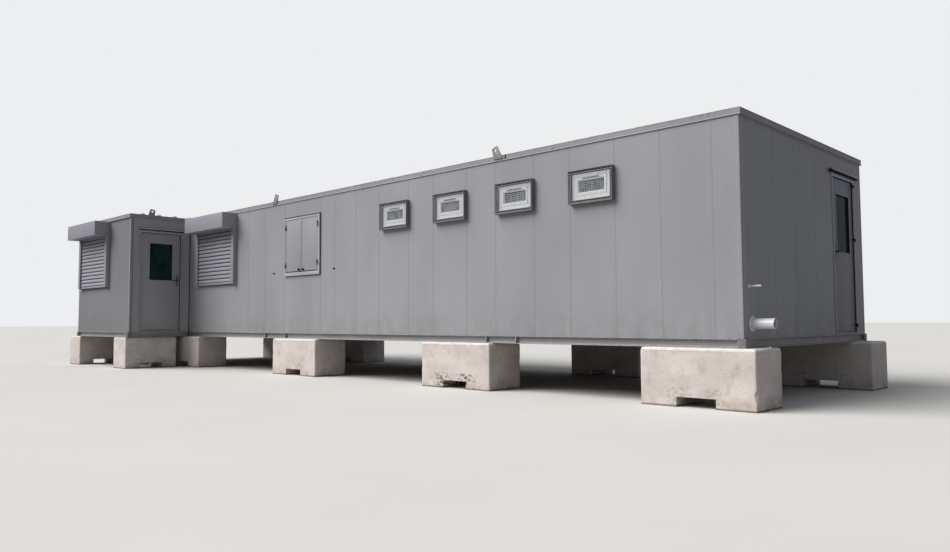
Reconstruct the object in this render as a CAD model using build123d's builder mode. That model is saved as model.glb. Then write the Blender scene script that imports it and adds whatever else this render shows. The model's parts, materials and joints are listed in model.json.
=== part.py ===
"""Portable site cabin: a long steel-clad cabin with a second, narrower cabin set against its left end
and standing forward of it as a bay, all resting on cast concrete blocks.

Millimetres. While the pieces are made, X runs along the long front wall with the right-hand end at 0,
Y runs from the front to the back and Z is up from the underside of the steel base frame. At the end
every piece is moved so that the origin is the middle of the footprint, on the ground.
"""

import os

from build123d import *

# Overall sizes, taken over the base frame
MAIN_LENGTH = 12190.0
MAIN_WIDTH = 3770.0
BAY_LENGTH = 2785.0
BAY_PROJECTION = 1265.0
CABIN_HEIGHT = 2490.0

# Base frame of outward-facing channels
FRAME_HEIGHT = 100.0
FLANGE_WIDTH = 50.0
STEEL_THICKNESS = 10.0
CORNER_BLOCK_LENGTH = 90.0
STIFFENER_THICKNESS = 10.0
STIFFENERS_FROM_END = (3072.0, 3594.0)
STIFFENERS_FROM_JOINT = (3034.0, 3706.0)
JOIST_PITCH = 1200.0
JOIST_WIDTH = 50.0
JOIST_DEPTH = 70.0
FLOOR_THICKNESS = 25.0

# Walls, roof and trim
SIDE_INSET = 8.0
END_INSET = 22.0
WALL_THICKNESS = 70.0
GROOVE_WIDTH = 5.0
GROOVE_DEPTH = 2.0
TRIM_HEIGHT = 75.0
ROOF_THICKNESS = 40.0
BAY_ROOF_THICKNESS = 62.0
RIB_PITCH = 333.0
RIB_BASE = 90.0
RIB_TOP = 50.0
BAY_RIB_FROM_FRONT = 240.0
MAIN_RIB_HEIGHT = 28.0
BAY_RIB_HEIGHT = 36.0
FRONT_SEAMS_X = (
    -335.0, -949.0, -1546.0, -2194.0, -2758.0, -3426.0, -3970.0, -4638.0, -5181.0,
    -5871.0, -6451.0, -7030.0, -7426.0, -8527.0, -9196.0, -9788.0,
)
END_SEAMS_Y = (835.0, 1430.0, 2050.0)
PANEL_PITCH = 600.0

# Lifting lugs
LUG_THICKNESS = 14.0
LUG_HOLE_RADIUS = 20.0
LUG_HOLE_FROM_TIP = 45.0
LUG_BASE_WIDTH = 150.0
LUG_TIP_WIDTH = 97.0
LUG_TIP_CORNER = 12.0
LUG_RISE = 119.0
LUG_LEAN = 72.0
BAY_LUG_LEAN = 32.0
LUG_SEAT = 45.0
LUG_FROM_END = 3343.0
LUG_FROM_BAY_CORNER = 423.0

# High windows and their guards
HIGH_WINDOW_PITCH = 1204.0
HIGH_WINDOW_FIRST_X = -1866.0
HIGH_WINDOW_COUNT = 4
HIGH_WINDOW_WIDTH = 540.0
HIGH_WINDOW_HEIGHT = 312.0
HIGH_WINDOW_BELOW_TRIM = 353.0
WINDOW_RAIL = 88.0
WINDOW_DEPTH = 60.0
WINDOW_PROUD = 12.0
GLASS_THICKNESS = 6.0
VENT_LENGTH = 240.0
VENT_HEIGHT = 18.0
VENT_PROUD = 14.0
VENT_BELOW_HEAD = 48.0
GUARD_CENTRE_SHIFT = 15.0
GUARD_WIDTH = 632.0
GUARD_HEIGHT = 410.0
GUARD_BELOW_SILL = 58.0
GUARD_DEPTH = 70.0
GUARD_SHEET = 3.0
GUARD_LIP = 9.0
MESH_THICKNESS = 3.0

# Window with two steel leaves
HATCH_CENTRE_X = -7956.0
HATCH_FRAME_WIDTH = 1064.0
HATCH_FRAME_HEIGHT = 1046.0
HATCH_BELOW_TRIM = 269.0
HATCH_STILE = 38.0
HATCH_HEAD = 52.0
HATCH_SILL = 70.0
HATCH_PROUD = 30.0
LEAF_SHEET = 18.0
LEAF_SETBACK = 2.0
LEAF_GAP = 6.0
LEAF_MEETING_GAP = 8.0
LEAF_HINGE_FROM_EDGE = 125.0
LEAF_HINGE_HEIGHT = 95.0
LEAF_KNUCKLE_RADIUS = 7.0
LEAF_STRAP_REACH = 28.0
KNOB_OFFSET = 60.0
KNOB_ABOVE_LEAF_FOOT = 26.0
KNOB_RADIUS = 19.0
KNOB_REACH = 30.0
CATCH_BELOW = 30.0
CATCH_PLATE = (46.0, 18.0, 6.0)
CATCH_PIN_RADIUS = 6.0
CATCH_PIN_LENGTH = 22.0

# Windows behind the leaves and the roller shutters
RAIL_OF_SHUT_WINDOW = 70.0

# Roller shutters
SHUTTER_WIDTH = 1570.0
SHUTTER_BOX_DEPTH = 320.0
SHUTTER_BOX_HEIGHT = 298.0
SHUTTER_BOX_SHEET = 4.0
SHUTTER_BOTTOM_Z = 1040.0
SHUTTER_CENTRE_FROM_JOINT = 1177.0
BAY_SHUTTER_CENTRE_FROM_LEFT = 950.0
GUIDE_WIDTH = 100.0
GUIDE_DEPTH = 80.0
GUIDE_SLOT = 34.0
LATH_PITCH = 77.0
LATH_BULGE = 16.0
LATH_SHEET = 4.0
CURTAIN_IN_GUIDE = 40.0
BOTTOM_BAR_HEIGHT = 40.0
SHUTTER_OPENING_MARGIN = 30.0
SHUTTER_OPENING_ABOVE_FOOT = 40.0
SHUTTER_OPENING_BELOW_BOX = 37.0

# Doors, both hung to open outwards
LEAF_THICKNESS = 44.0
DOOR_RECESS = 22.0
DOOR_FRAME_FACE = 45.0
DOOR_FRAME_PROUD = 10.0
DOOR_BOTTOM_Z = 128.0
DOOR_FRAME_BELOW_TRIM = 240.0
DOOR_EDGE_GAP = 10.0
DOOR_HINGE_GAP = 7.0
DOOR_HEAD_GAP = 7.0
LOW_HINGE_FROM_FOOT = 60.0
MIDDLE_HINGE_FROM_FOOT = 1202.0
TOP_HINGE_FROM_HEAD = 66.0
DOOR_HINGE_HEIGHT = 45.0
DOOR_KNUCKLE_RADIUS = 8.0
KNUCKLE_SIDES = 12
PIN_SIDES = 8
KNOB_SIDES = 16
ROLL_SIDES = 16
HINGE_PIN_RATIO = 0.5
HINGE_RUNNING_GAP = 0.05
HINGE_END_GAP = 0.4
HINGE_PLATE = 4.0
HINGE_STRAP_REACH = 34.0
DOOR_GLASS_WIDTH = 468.0
DOOR_GLASS_HEIGHT = 750.0
DOOR_GLASS_FROM_HEAD = 208.0
BEZEL_WIDTH = 18.0
BEZEL_PROUD = 6.0
HANDLE_Z = 1160.0
HANDLE_BACKSET = 55.0
HANDLE_PLATE = (40.0, 240.0, 9.0)
HANDLE_STANDOFF = 48.0
HANDLE_RADIUS = 9.0
HANDLE_LENGTH = 130.0
END_DOOR_HINGE_FROM_BACK = 336.0
END_DOOR_WIDTH = 730.0
BAY_DOOR_HINGE_FROM_FRONT = 251.0
BAY_DOOR_WIDTH = 796.0
CANOPY_DEPTH = 54.0
CANOPY_HEIGHT = 30.0
CANOPY_SHEET = 4.0
CANOPY_ABOVE_FRAME = 18.0
END_CANOPY_OVERHANG = 94.0
BAY_CANOPY_OVERHANG = 10.0

# Pipes through the end wall
SOIL_Y = 217.0
SOIL_Z = 252.0
SOIL_RADIUS = 55.0
SOIL_WALL = 3.2
SOIL_REACH = 222.0
SOIL_FLANGE_RADIUS = 82.0
OVERFLOW_Y = 152.0
OVERFLOW_Z = 640.0
OVERFLOW_RADIUS = 10.75
OVERFLOW_WALL = 1.9
OVERFLOW_REACH = 112.0
OVERFLOW_FLANGE_RADIUS = 25.0
PIPE_FLANGE = 6.0

# Concrete blocks with a fork slot across the underside
BLOCK_LENGTH = 1320.0
BLOCK_WIDTH = 630.0
BLOCK_HEIGHT = 630.0
BLOCK_EDGE = 28.0
SLOT_WIDTH = 450.0
SLOT_HEIGHT = 108.0
SLOT_CORNER = 14.0
BAY_BLOCK_LENGTH = 1050.0
BAY_BLOCK_WIDTH = 600.0
FRONT_BLOCK_INSET = 236.0
REAR_BLOCK_INSET = 258.0
FRONT_BLOCKS_FROM_END = (523.0, 4124.0)
FRONT_BLOCKS_FROM_JOINT = (4092.0, -55.0)
REAR_BLOCKS_FROM_END = (430.0, 3920.0)
REAR_BLOCKS_FROM_JOINT = (4790.0, 1160.0)
REAR_BLOCK_FROM_LEFT = 1030.0
BAY_BLOCK_FROM_JOINT = (-385.0, 523.0)
BAY_BLOCK_FROM_LEFT = (-63.0, 510.0)

# Places that follow from the sizes
LEFT_X = -MAIN_LENGTH - BAY_LENGTH
JOINT_X = -MAIN_LENGTH
FRONT_WALL_Y = SIDE_INSET
BACK_WALL_Y = MAIN_WIDTH - SIDE_INSET
END_WALL_X = -END_INSET
LEFT_WALL_X = LEFT_X + SIDE_INSET
BAY_FRONT_Y = -BAY_PROJECTION
BAY_WALL_Y = BAY_FRONT_Y + END_INSET
BAY_SIDE_X = JOINT_X - SIDE_INSET
WALL_TOP = CABIN_HEIGHT - TRIM_HEIGHT
WALL_BOTTOM = FRAME_HEIGHT
FLOOR_TOP = FRAME_HEIGHT + FLOOR_THICKNESS
STIFFENER_X = (*(-d for d in STIFFENERS_FROM_END), *(JOINT_X + d for d in STIFFENERS_FROM_JOINT))
HIGH_WINDOW_SILL_Z = WALL_TOP - HIGH_WINDOW_BELOW_TRIM - HIGH_WINDOW_HEIGHT
GUARD_BOTTOM_Z = HIGH_WINDOW_SILL_Z - GUARD_BELOW_SILL
HATCH_TOP_Z = WALL_TOP - HATCH_BELOW_TRIM
HATCH_BOTTOM_Z = HATCH_TOP_Z - HATCH_FRAME_HEIGHT
HATCH_FACE_Y = FRONT_WALL_Y - HATCH_PROUD
LEAF_BOTTOM_Z = HATCH_BOTTOM_Z + HATCH_SILL + LEAF_GAP
LEAF_TOP_Z = HATCH_TOP_Z - HATCH_HEAD - LEAF_GAP
LEAF_WIDTH = (HATCH_FRAME_WIDTH - 2 * HATCH_STILE - 2 * LEAF_GAP - LEAF_MEETING_GAP) / 2
LEAF_HINGE_X = HATCH_FRAME_WIDTH / 2 - HATCH_STILE - LEAF_GAP
LEAF_FACE_Y = HATCH_FACE_Y + LEAF_SETBACK
LEAF_PIVOT_Y = HATCH_FACE_Y - LEAF_KNUCKLE_RADIUS - LEAF_GAP
LEAF_HINGE_Z = (LEAF_BOTTOM_Z + LEAF_HINGE_FROM_EDGE, LEAF_TOP_Z - LEAF_HINGE_FROM_EDGE)
KNOB_Z = LEAF_BOTTOM_Z + KNOB_ABOVE_LEAF_FOOT
SHUTTER_BOX_BOTTOM_Z = WALL_TOP - SHUTTER_BOX_HEIGHT
SHUTTER_RIGHT_X = JOINT_X + SHUTTER_CENTRE_FROM_JOINT + SHUTTER_WIDTH / 2
BAY_SHUTTER_RIGHT_X = LEFT_X + BAY_SHUTTER_CENTRE_FROM_LEFT + SHUTTER_WIDTH / 2
DOOR_OPENING_TOP = WALL_TOP - DOOR_FRAME_BELOW_TRIM
DOOR_HEAD_Z = DOOR_OPENING_TOP - DOOR_FRAME_FACE
DOOR_TOP_Z = DOOR_HEAD_Z - DOOR_HEAD_GAP
DOOR_HINGE_Z = (
    DOOR_BOTTOM_Z + LOW_HINGE_FROM_FOOT,
    DOOR_BOTTOM_Z + MIDDLE_HINGE_FROM_FOOT,
    DOOR_TOP_Z - TOP_HINGE_FROM_HEAD,
)
DOOR_GLASS_SILL_Z = DOOR_TOP_Z - DOOR_GLASS_FROM_HEAD - DOOR_GLASS_HEIGHT
END_DOOR_HINGE_Y = MAIN_WIDTH - END_DOOR_HINGE_FROM_BACK
BAY_DOOR_HINGE_Y = BAY_FRONT_Y + BAY_DOOR_HINGE_FROM_FRONT
CANOPY_BOTTOM_Z = DOOR_OPENING_TOP + CANOPY_ABOVE_FRAME
FRONT_BLOCKS_X = (*(-d for d in FRONT_BLOCKS_FROM_END), *(JOINT_X + d for d in FRONT_BLOCKS_FROM_JOINT))
REAR_BLOCKS_X = (
    *(-d for d in REAR_BLOCKS_FROM_END),
    *(JOINT_X + d for d in REAR_BLOCKS_FROM_JOINT),
    LEFT_X + REAR_BLOCK_FROM_LEFT,
)
BAY_BLOCKS = (
    (JOINT_X + BAY_BLOCK_FROM_JOINT[0], BAY_FRONT_Y + BAY_BLOCK_FROM_JOINT[1]),
    (LEFT_X + BAY_BLOCK_FROM_LEFT[0], BAY_FRONT_Y + BAY_BLOCK_FROM_LEFT[1]),
)

pieces = {}


def keep(name, *makers):
    """File the solids of one or more finished builders under a node name."""
    solids = [solid for maker in makers for solid in maker.part.solids()]
    pieces.setdefault(name, []).extend(solids)


def slab(x, y, z):
    """A plain rectangular piece between pairs of limits."""
    with BuildPart() as piece:
        with Locations(((x[0] + x[1]) / 2, (y[0] + y[1]) / 2, (z[0] + z[1]) / 2)):
            Box(abs(x[1] - x[0]), abs(y[1] - y[0]), abs(z[1] - z[0]))
    return piece


def front_plane(y):
    """Sketch plane facing the front: sketch x is X and sketch y is Z."""
    return Plane(origin=(0, y, 0), x_dir=(1, 0, 0), z_dir=(0, -1, 0))


def end_plane(x):
    """Sketch plane facing the right-hand end: sketch x is Y and sketch y is Z."""
    return Plane(origin=(x, 0, 0), x_dir=(0, 1, 0), z_dir=(1, 0, 0))


def rectangle_between(a, b, mode=Mode.ADD):
    """A sketch rectangle from corner a to corner b."""
    with Locations(((a[0] + b[0]) / 2, (a[1] + b[1]) / 2)):
        Rectangle(abs(b[0] - a[0]), abs(b[1] - a[1]), mode=mode)


def wall(plane, start, end, openings=(), seams=()):
    """A wall on its outer plane, with openings cut through and grooves at the panel joints."""
    with BuildPart() as piece:
        with BuildSketch(plane):
            rectangle_between((start, WALL_BOTTOM), (end, WALL_TOP))
            for corner, opposite in openings:
                rectangle_between(corner, opposite, mode=Mode.SUBTRACT)
        extrude(amount=-WALL_THICKNESS)
        low, high = min(start, end) + GROOVE_WIDTH, max(start, end) - GROOVE_WIDTH
        inside = [seam for seam in seams if low < seam < high]
        if inside:
            with BuildSketch(plane):
                for seam in inside:
                    rectangle_between(
                        (seam - GROOVE_WIDTH / 2, WALL_BOTTOM), (seam + GROOVE_WIDTH / 2, WALL_TOP)
                    )
            extrude(amount=-GROOVE_DEPTH, mode=Mode.SUBTRACT)
    return piece


def channel(plane, length, ribs=(), corner=CORNER_BLOCK_LENGTH):
    """A channel rail lying along the plane's x direction, its flanges pointing out of the plane.

    Its ends are solid over the length corner, where the frame's corner castings are.
    """
    with BuildPart() as piece:
        with BuildSketch(plane):
            rectangle_between((0, 0), (length, FRAME_HEIGHT))
        extrude(amount=-FLANGE_WIDTH)
        with BuildSketch(plane):
            rectangle_between(
                (corner, STEEL_THICKNESS),
                (length - corner, FRAME_HEIGHT - STEEL_THICKNESS),
            )
        extrude(amount=-(FLANGE_WIDTH - STEEL_THICKNESS), mode=Mode.SUBTRACT)
        if ribs:
            with BuildSketch(plane.offset(-STEEL_THICKNESS)):
                for rib in ribs:
                    with Locations((rib, FRAME_HEIGHT / 2)):
                        Rectangle(STIFFENER_THICKNESS, FRAME_HEIGHT - STEEL_THICKNESS)
            extrude(amount=-(FLANGE_WIDTH - 1.5 * STEEL_THICKNESS))
    return piece


def window(plane, low, high, rail, depth, proud=0.0):
    """A plastic window frame with its pane, set in the wall behind the plane."""
    with BuildPart() as frame:
        with BuildSketch(plane.offset(proud)):
            rectangle_between(low, high)
            rectangle_between(
                (low[0] + rail, low[1] + rail), (high[0] - rail, high[1] - rail), mode=Mode.SUBTRACT
            )
        extrude(amount=-depth)
        outer = frame.faces().filter_by(Axis(plane.origin, plane.z_dir)).sort_by(
            Axis(plane.origin, plane.z_dir)
        )[-1]
        chamfer(outer.inner_wires()[0].edges(), rail / 6)
    with BuildPart() as pane:
        with BuildSketch(plane.offset(proud - depth / 2)):
            rectangle_between(
                (low[0] + rail, low[1] + rail), (high[0] - rail, high[1] - rail)
            )
        extrude(amount=-GLASS_THICKNESS)
    return frame, pane


# Base frame
returned_corner = CORNER_BLOCK_LENGTH - FLANGE_WIDTH
front_rail_plane = Plane(origin=(JOINT_X, 0, 0), x_dir=(1, 0, 0), z_dir=(0, -1, 0))
keep("main_frame_rails", channel(front_rail_plane, MAIN_LENGTH, [MAIN_LENGTH + x for x in STIFFENER_X]))
back_rail_plane = Plane(origin=(0, MAIN_WIDTH, 0), x_dir=(-1, 0, 0), z_dir=(0, 1, 0))
keep("main_frame_rails", channel(back_rail_plane, MAIN_LENGTH, [-x for x in STIFFENER_X]))
end_rail_plane = Plane(origin=(0, FLANGE_WIDTH, 0), x_dir=(0, 1, 0), z_dir=(1, 0, 0))
keep("main_frame_rails", channel(end_rail_plane, MAIN_WIDTH - 2 * FLANGE_WIDTH, corner=returned_corner))
bay_front_plane = Plane(origin=(LEFT_X, BAY_FRONT_Y, 0), x_dir=(1, 0, 0), z_dir=(0, -1, 0))
keep("bay_frame_rails", channel(bay_front_plane, BAY_LENGTH))
bay_back_plane = Plane(origin=(JOINT_X, MAIN_WIDTH, 0), x_dir=(-1, 0, 0), z_dir=(0, 1, 0))
keep("bay_frame_rails", channel(bay_back_plane, BAY_LENGTH))
bay_side_plane = Plane(origin=(JOINT_X, BAY_FRONT_Y + FLANGE_WIDTH, 0), x_dir=(0, 1, 0), z_dir=(1, 0, 0))
bay_side_run = MAIN_WIDTH + BAY_PROJECTION - 2 * FLANGE_WIDTH
keep("bay_frame_rails", channel(bay_side_plane, bay_side_run, corner=returned_corner))
left_plane = Plane(origin=(LEFT_X, MAIN_WIDTH - FLANGE_WIDTH, 0), x_dir=(0, -1, 0), z_dir=(-1, 0, 0))
keep("bay_frame_rails", channel(left_plane, bay_side_run, corner=returned_corner))

joist_z = (FRAME_HEIGHT - JOIST_DEPTH, FRAME_HEIGHT)
for n in range(1, int(MAIN_LENGTH // JOIST_PITCH)):
    x = -n * JOIST_PITCH
    keep(
        "floor_joists",
        slab((x - JOIST_WIDTH, x), (FLANGE_WIDTH, MAIN_WIDTH - FLANGE_WIDTH), joist_z),
    )
for n in range(1, int(bay_side_run // JOIST_PITCH) + 1):
    y = BAY_FRONT_Y + n * JOIST_PITCH
    keep(
        "floor_joists",
        slab((LEFT_X + FLANGE_WIDTH, JOINT_X - FLANGE_WIDTH), (y, y + JOIST_WIDTH), joist_z),
    )

floor_z = (FRAME_HEIGHT, FLOOR_TOP)
keep(
    "main_floor",
    slab(
        (BAY_SIDE_X, END_WALL_X - WALL_THICKNESS),
        (FRONT_WALL_Y + WALL_THICKNESS, BACK_WALL_Y - WALL_THICKNESS),
        floor_z,
    ),
)
keep(
    "bay_floor",
    slab(
        (LEFT_WALL_X + WALL_THICKNESS, BAY_SIDE_X - WALL_THICKNESS),
        (BAY_WALL_Y + WALL_THICKNESS, BACK_WALL_Y - WALL_THICKNESS),
        floor_z,
    ),
    slab(
        (BAY_SIDE_X - WALL_THICKNESS, BAY_SIDE_X),
        (FRONT_WALL_Y + WALL_THICKNESS, BACK_WALL_Y - WALL_THICKNESS),
        floor_z,
    ),
)

# Front wall of the long cabin, with its windows
high_centres = [HIGH_WINDOW_FIRST_X - n * HIGH_WINDOW_PITCH for n in range(HIGH_WINDOW_COUNT)]
high_spans = [
    (
        (x - HIGH_WINDOW_WIDTH / 2, HIGH_WINDOW_SILL_Z),
        (x + HIGH_WINDOW_WIDTH / 2, HIGH_WINDOW_SILL_Z + HIGH_WINDOW_HEIGHT),
    )
    for x in high_centres
]
hatch_span = (
    (HATCH_CENTRE_X - HATCH_FRAME_WIDTH / 2 + HATCH_STILE, HATCH_BOTTOM_Z + HATCH_SILL),
    (HATCH_CENTRE_X + HATCH_FRAME_WIDTH / 2 - HATCH_STILE, HATCH_TOP_Z - HATCH_HEAD),
)


def shutter_span(right_x):
    """The wall opening behind a roller shutter whose right edge is at right_x."""
    inner_right = right_x - GUIDE_WIDTH - SHUTTER_OPENING_MARGIN
    inner_left = right_x - SHUTTER_WIDTH + GUIDE_WIDTH + SHUTTER_OPENING_MARGIN
    bottom_z = SHUTTER_BOTTOM_Z + SHUTTER_OPENING_ABOVE_FOOT
    return (inner_left, bottom_z), (inner_right, SHUTTER_BOX_BOTTOM_Z - SHUTTER_OPENING_BELOW_BOX)


front_shutter_span = shutter_span(SHUTTER_RIGHT_X)
bay_shutter_span = shutter_span(BAY_SHUTTER_RIGHT_X)
keep(
    "front_wall",
    wall(
        front_plane(FRONT_WALL_Y),
        BAY_SIDE_X,
        END_WALL_X,
        openings=[*high_spans, hatch_span, front_shutter_span],
        seams=FRONT_SEAMS_X,
    ),
)
back_plane = Plane(origin=(0, BACK_WALL_Y, 0), x_dir=(-1, 0, 0), z_dir=(0, 1, 0))
back_seams = [n * PANEL_PITCH - END_WALL_X for n in range(1, int(-LEFT_X // PANEL_PITCH) + 1)]
keep("back_wall", wall(back_plane, -END_WALL_X, -LEFT_WALL_X, seams=back_seams))


# Doors: both leaves face the right-hand end
def door_span(hinge_y, width, side):
    """Low and high Y of a door's clear opening between its jambs; side is the way from the hinges."""
    free_y = hinge_y + side * (DOOR_HINGE_GAP + width + DOOR_EDGE_GAP)
    return min(hinge_y, free_y), max(hinge_y, free_y)


end_span = door_span(END_DOOR_HINGE_Y, END_DOOR_WIDTH, -1)
bay_span = door_span(BAY_DOOR_HINGE_Y, BAY_DOOR_WIDTH, 1)
end_cut = (end_span[0] - DOOR_FRAME_FACE, end_span[1] + DOOR_FRAME_FACE)
bay_cut = (bay_span[0] - DOOR_FRAME_FACE, bay_span[1] + DOOR_FRAME_FACE)


def door_frame(wall_x, span):
    """A steel door frame with a threshold, through the wall and a little proud of it."""
    low, high = span
    with BuildPart() as frame:
        with BuildSketch(end_plane(wall_x + DOOR_FRAME_PROUD)):
            rectangle_between(
                (low - DOOR_FRAME_FACE, WALL_BOTTOM), (high + DOOR_FRAME_FACE, DOOR_OPENING_TOP)
            )
            rectangle_between(
                (low, DOOR_BOTTOM_Z - DOOR_HEAD_GAP), (high, DOOR_HEAD_Z), mode=Mode.SUBTRACT
            )
        extrude(amount=-(DOOR_FRAME_PROUD + WALL_THICKNESS))
    return frame


def door_leaf(wall_x, hinge_y, width, side):
    """A flush steel leaf with a glazed opening, and the raised bezel around the glass."""
    near = hinge_y + side * DOOR_HINGE_GAP
    far = near + side * width
    middle = (near + far) / 2
    face = wall_x + DOOR_FRAME_PROUD - DOOR_RECESS
    glass_low = (middle - DOOR_GLASS_WIDTH / 2, DOOR_GLASS_SILL_Z)
    glass_high = (middle + DOOR_GLASS_WIDTH / 2, DOOR_GLASS_SILL_Z + DOOR_GLASS_HEIGHT)
    with BuildPart() as leaf:
        with BuildSketch(end_plane(face)):
            rectangle_between((near, DOOR_BOTTOM_Z), (far, DOOR_TOP_Z))
            rectangle_between(glass_low, glass_high, mode=Mode.SUBTRACT)
        extrude(amount=-LEAF_THICKNESS)
        with BuildSketch(end_plane(face)):
            rectangle_between(
                (glass_low[0] - BEZEL_WIDTH, glass_low[1] - BEZEL_WIDTH),
                (glass_high[0] + BEZEL_WIDTH, glass_high[1] + BEZEL_WIDTH),
            )
            rectangle_between(glass_low, glass_high, mode=Mode.SUBTRACT)
        extrude(amount=BEZEL_PROUD)
    with BuildPart() as pane:
        with BuildSketch(end_plane(face - LEAF_THICKNESS / 2 + GLASS_THICKNESS / 2)):
            rectangle_between(glass_low, glass_high)
        extrude(amount=-GLASS_THICKNESS)
    return leaf, pane


def door_handle(wall_x, hinge_y, width, side):
    """A lever on a long plate, pointing back towards the hinges."""
    face = wall_x + DOOR_FRAME_PROUD - DOOR_RECESS
    y = hinge_y + side * (DOOR_HINGE_GAP + width - HANDLE_BACKSET)
    plate_width, plate_height, plate_depth = HANDLE_PLATE
    with BuildPart() as handle:
        with BuildSketch(end_plane(face)):
            with Locations((y, HANDLE_Z)):
                Rectangle(plate_width, plate_height)
            chamfer(vertices(), plate_width / 4)
        extrude(amount=plate_depth)
        with BuildSketch(end_plane(face)):
            with Locations((y, HANDLE_Z)):
                RegularPolygon(HANDLE_RADIUS, KNUCKLE_SIDES)
        extrude(amount=HANDLE_STANDOFF)
        root = (face + HANDLE_STANDOFF, y + side * HANDLE_RADIUS, HANDLE_Z)
        with BuildSketch(Plane(origin=root, x_dir=(1, 0, 0), z_dir=(0, 1, 0))):
            RegularPolygon(HANDLE_RADIUS, KNUCKLE_SIDES)
        extrude(amount=-side * HANDLE_LENGTH)
    return handle


def hinge_pair(axis, radius, low_z, height, fixed_plate, moving_plate):
    """A lift-off hinge: the lower knuckle and pin stay with the frame, the upper one turns on the pin.

    fixed_plate and moving_plate are outlines, in plan, of the plates that carry the two knuckles,
    which are drawn with few faces because the cabin has ten of these hinges.
    """
    pin = radius * HINGE_PIN_RATIO
    half = height / 2
    with BuildPart() as fixed:
        with BuildSketch(Plane.XY.offset(low_z)):
            Polygon(*fixed_plate, align=None)
            with Locations(axis):
                RegularPolygon(radius, KNUCKLE_SIDES)
        extrude(amount=half - HINGE_END_GAP)
        with BuildSketch(Plane.XY.offset(low_z)):
            with Locations(axis):
                RegularPolygon(pin, PIN_SIDES)
        extrude(amount=height)
    with BuildPart() as moving:
        with BuildSketch(Plane.XY.offset(low_z + half)):
            Polygon(*moving_plate, align=None)
            with Locations(axis):
                RegularPolygon(radius, KNUCKLE_SIDES)
                Circle(pin + HINGE_RUNNING_GAP, mode=Mode.SUBTRACT)
        extrude(amount=half)
    return fixed, moving


def door_hinges(wall_x, hinge_y, side):
    """Three hinges on the jamb: their fixed halves and the halves that turn with the leaf."""
    frame_face = wall_x + DOOR_FRAME_PROUD
    leaf_face = frame_face - DOOR_RECESS
    axis = (frame_face + DOOR_KNUCKLE_RADIUS, hinge_y)
    jamb_y = hinge_y - side * 0.8 * DOOR_FRAME_FACE
    leaf_near = hinge_y + side * (DOOR_KNUCKLE_RADIUS + HINGE_PLATE)
    leaf_far = hinge_y + side * HINGE_STRAP_REACH
    on_jamb = (
        (frame_face, hinge_y - side * DOOR_KNUCKLE_RADIUS / 2),
        (frame_face + HINGE_PLATE, hinge_y - side * DOOR_KNUCKLE_RADIUS / 2),
        (frame_face + HINGE_PLATE, jamb_y),
        (frame_face, jamb_y),
    )
    on_leaf = (
        (axis[0] + DOOR_KNUCKLE_RADIUS / 2, axis[1] + side * DOOR_KNUCKLE_RADIUS * 0.75),
        (leaf_face + HINGE_PLATE, leaf_far),
        (leaf_face, leaf_far),
        (leaf_face, leaf_near),
        (axis[0] - DOOR_KNUCKLE_RADIUS / 2, axis[1] + side * DOOR_KNUCKLE_RADIUS * 0.75),
    )
    pairs = [
        hinge_pair(axis, DOOR_KNUCKLE_RADIUS, z, DOOR_HINGE_HEIGHT, on_jamb, on_leaf) for z in DOOR_HINGE_Z
    ]
    return [fixed for fixed, _ in pairs], [moving for _, moving in pairs]


def canopy(wall_x, cut, overhang):
    """A folded steel drip strip over a door: a sloping top and a turned-down front edge."""
    start, end = cut[0] - overhang, cut[1] + overhang
    with BuildPart() as strip:
        with BuildSketch(Plane(origin=(wall_x, start, CANOPY_BOTTOM_Z), x_dir=(1, 0, 0), z_dir=(0, -1, 0))):
            with BuildLine():
                Polyline(
                    (0, CANOPY_HEIGHT),
                    (CANOPY_DEPTH, CANOPY_HEIGHT / 2),
                    (CANOPY_DEPTH, 0),
                    (CANOPY_DEPTH - CANOPY_SHEET, 0),
                    (CANOPY_DEPTH - CANOPY_SHEET, CANOPY_HEIGHT / 2 - CANOPY_SHEET),
                    (CANOPY_SHEET, CANOPY_HEIGHT - CANOPY_SHEET),
                    (CANOPY_SHEET, -CANOPY_SHEET),
                    (0, -CANOPY_SHEET),
                    close=True,
                )
            make_face()
        extrude(amount=-(end - start))
    return strip


for prefix, wall_x, hinge_y, width, side, span, cut, overhang in (
    ("end", END_WALL_X, END_DOOR_HINGE_Y, END_DOOR_WIDTH, -1, end_span, end_cut, END_CANOPY_OVERHANG),
    ("bay", BAY_SIDE_X, BAY_DOOR_HINGE_Y, BAY_DOOR_WIDTH, 1, bay_span, bay_cut, BAY_CANOPY_OVERHANG),
):
    keep(f"{prefix}_door_frame", door_frame(wall_x, span))
    leaf, pane = door_leaf(wall_x, hinge_y, width, side)
    keep(f"{prefix}_door_leaf", leaf)
    keep(f"{prefix}_door_glass", pane)
    keep(f"{prefix}_door_handle", door_handle(wall_x, hinge_y, width, side))
    fixed_halves, turning_halves = door_hinges(wall_x, hinge_y, side)
    keep(f"{prefix}_door_hinges", *fixed_halves)
    keep(f"{prefix}_door_straps", *turning_halves)
    keep(f"{prefix}_door_canopy", canopy(wall_x, cut, overhang))

# End wall, with holes for the pipes
end_inner = (FRONT_WALL_Y + WALL_THICKNESS, BACK_WALL_Y - WALL_THICKNESS)
with BuildPart() as end_wall_near:
    add(wall(end_plane(END_WALL_X), end_inner[0], end_cut[0], seams=END_SEAMS_Y).part)
    with BuildSketch(end_plane(END_WALL_X)):
        with Locations((SOIL_Y, SOIL_Z)):
            Circle(SOIL_RADIUS)
        with Locations((OVERFLOW_Y, OVERFLOW_Z)):
            Circle(OVERFLOW_RADIUS)
    extrude(amount=-WALL_THICKNESS, mode=Mode.SUBTRACT)
keep("end_wall_near", end_wall_near)
keep("end_wall_far", wall(end_plane(END_WALL_X), end_cut[1], end_inner[1]))


def over_door(wall_x, cut):
    """The strip of wall between a door frame and the roof."""
    return slab((wall_x - WALL_THICKNESS, wall_x), cut, (DOOR_OPENING_TOP, WALL_TOP))


keep("end_wall_head", over_door(END_WALL_X, end_cut))

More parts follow.
